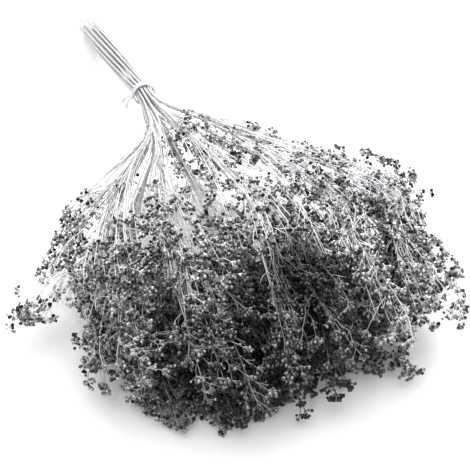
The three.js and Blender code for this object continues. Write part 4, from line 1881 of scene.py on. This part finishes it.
@dataclass(frozen=True)
class TieCord:
    """The twisted cord wound round the stems, with its knot and its two tails."""

    form: BunchForm
    seed: int = 311
    span: float = 14.0
    inner_radius: float = 8.8
    cord_radius: float = 0.95
    turns: int = 3
    turn_points: int = 60
    turn_pack: float = 0.95
    knot_scale: float = 0.62
    knot_lift: float = 1.2
    knot_thickness: float = 0.8
    knot_points: int = 73
    tail_length: float = 13.0
    tail_lift: float = 1.0
    tail_out: float = 0.7
    tail_along: float = 0.4
    tail_foot: float = 0.5
    tail_rise: float = 0.25
    tail_fall: float = 0.75
    tail_points: int = 24
    strands: int = 3
    strand_radius: float = 0.52
    strand_pack: float = 0.95
    strand_end: float = 0.6
    twist_pitch: float = 4.2
    step: float = 0.45
    fewest_points: int = 4
    fray_start: float = 0.7
    fray_length: float = 0.3
    fray: Span = (1.0, 3.0)

    def turn_and_place(self, points: np.ndarray) -> np.ndarray:
        """Moves points of the tie's own frame to where it sits on the sloping stems."""
        back = self.form.point(Place(0.0, 0.0, -self.span / 2), 0.0)
        front = self.form.point(Place(0.0, 0.0, self.span / 2), 0.0)
        slope = math.atan2(back[2] - front[2], self.span)
        turned = points.copy()
        turned[:, 1] = points[:, 1] * math.cos(slope) - points[:, 2] * math.sin(slope)
        turned[:, 2] = points[:, 1] * math.sin(slope) + points[:, 2] * math.cos(slope)
        return turned + (back + front) / 2

    def winding(self) -> np.ndarray:
        """The cord's path round the stems, which starts and ends under the knot."""
        shares = np.linspace(0, 1, self.turn_points * self.turns + 1)
        angles = math.pi + 2 * math.pi * self.turns * shares
        reach = self.inner_radius + self.cord_radius
        along = (shares - 0.5) * 2 * self.cord_radius * self.turns * self.turn_pack
        return np.stack([reach * np.cos(angles), along, reach * np.sin(angles)], axis=1)

    def knot(self) -> np.ndarray:
        """The cord's path through its knot."""
        angles = np.linspace(0, 2 * math.pi, self.knot_points)
        scale = self.knot_scale
        reach = self.inner_radius + self.cord_radius + self.knot_lift
        across = -reach + scale * self.knot_thickness * np.sin(3 * angles)
        along = scale * (np.sin(angles) + 2 * np.sin(2 * angles))
        return np.stack([across, along, scale * (np.cos(angles) - 2 * np.cos(2 * angles))], axis=1)

    def tail(self, side: int) -> np.ndarray:
        """The path of one tail, on the side towards the heads or the cut ends."""
        shares = np.linspace(0, 1, self.tail_points)
        reach = self.inner_radius + self.cord_radius + self.tail_lift
        run = self.tail_length * shares
        along = side * (run * self.tail_along + self.tail_foot)
        height = run * (self.tail_rise - self.tail_fall * shares)
        return np.stack([-reach - run * self.tail_out, along, height], axis=1)

    def twist(self, path: np.ndarray, parting: float, random: np.random.Generator) -> list[np.ndarray]:
        """The strands of cord that twist round a path.

        Args:
            path: The cord's middle.
            parting: How far the strands part at the path's end.
            random: Draws how each strand parts.

        Returns:
            The path of each strand.
        """
        lengths = np.linalg.norm(np.diff(path, axis=0), axis=1)
        along = np.concatenate([[0.0], np.cumsum(lengths)])
        steps = np.linspace(0, along[-1], max(self.fewest_points, round(along[-1] / self.step)))
        middle = np.stack([np.interp(steps, along, path[:, axis]) for axis in range(3)], axis=1)
        tangents = unit(np.gradient(middle, axis=0))
        first = unit(np.cross(tangents, np.array([0.0, 1.0, 0.0])) + TINY)
        second = np.cross(tangents, first)
        loose = np.clip((steps / along[-1] - self.fray_start) / self.fray_length, 0, 1) * parting
        paths = []
        for strand in range(self.strands):
            angle = 2 * math.pi * (steps / self.twist_pitch + strand / self.strands)
            reach = self.strand_radius * self.strand_pack * (1 + loose * random.uniform(*self.fray))
            offset = first * (reach * np.cos(angle))[:, None]
            offset = offset + second * (reach * np.sin(angle))[:, None]
            paths.append(middle + offset)
        return paths

    def make(self, grower: Grower, material: bpy.types.Material) -> int:
        """Makes the tie's piece, which stands for its solid.

        Args:
            grower: Turns lines into round strands.
            material: The cord's finish.

        Returns:
            How many triangles it has.
        """
        random = np.random.default_rng(self.seed)
        network = Network()
        parts = ((self.winding(), 0.0), (self.knot(), 0.0), (self.tail(-1), 1.0), (self.tail(1), 1.0))
        for path, parting in parts:
            for strand in self.twist(path, parting, random):
                placed = self.turn_and_place(strand)
                radii = np.full(len(placed), self.strand_radius)
                radii[-1] *= self.strand_end
                network.add_line(placed, radii, Grade.BRANCH)
        mesh = network.to_mesh("tie_plan", CoatAndPaintedLight(self.form), random)
        piece = grower.make(mesh, "tie_cord", material)
        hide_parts("tie")
        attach(piece, "root")
        bpy.data.meshes.remove(mesh)
        return triangles(piece)


def triangles(piece: bpy.types.Object) -> int:
    """How many triangles a piece has."""
    return sum(len(polygon.vertices) - 2 for polygon in piece.data.polygons)


def main() -> None:
    """Builds the bunch, the floor, the light and the camera."""
    logging.basicConfig(level=logging.INFO, format="%(message)s")
    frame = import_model()
    studio = Studio()
    studio.add_camera()
    studio.add_floor()
    studio.add_lights()
    bpy.context.scene.view_settings.view_transform = "Standard"
    bpy.context.scene.view_settings.look = "Medium High Contrast"

    group = SilverGroup().build()
    stalk_finish = SilverFinish("silver_stalk", STALK_COAT).build(group)
    capsule_finish = SilverFinish("silver_capsule", CAPSULE_COAT).build(group)
    stalk_tree = StalkTree()
    capsule_tree = CapsuleTree(
        closed=CapsuleShape(CapsuleForm.CLOSED).build(),
        opened=CapsuleShape(CapsuleForm.OPENED).build(),
    )
    stalk_grower = Grower(stalk_tree.build(), stalk_tree.inputs())
    capsule_grower = Grower(capsule_tree.build(), capsule_tree.inputs())
    planner = SprayPlanner(BunchForm())
    maker = SprayMaker(
        FineGrowth(planner), stalk_grower, capsule_grower, stalk_finish, capsule_finish
    )
    total = TieCord(planner.form).make(stalk_grower, CordFinish().build())
    for number, seat in enumerate(planner.seats()):
        total += maker.make(seat, number)
    LOG.info("the bunch: %d triangles for %d nodes", total, len(frame["nodes"]))


if __name__ == "__main__":
    main()
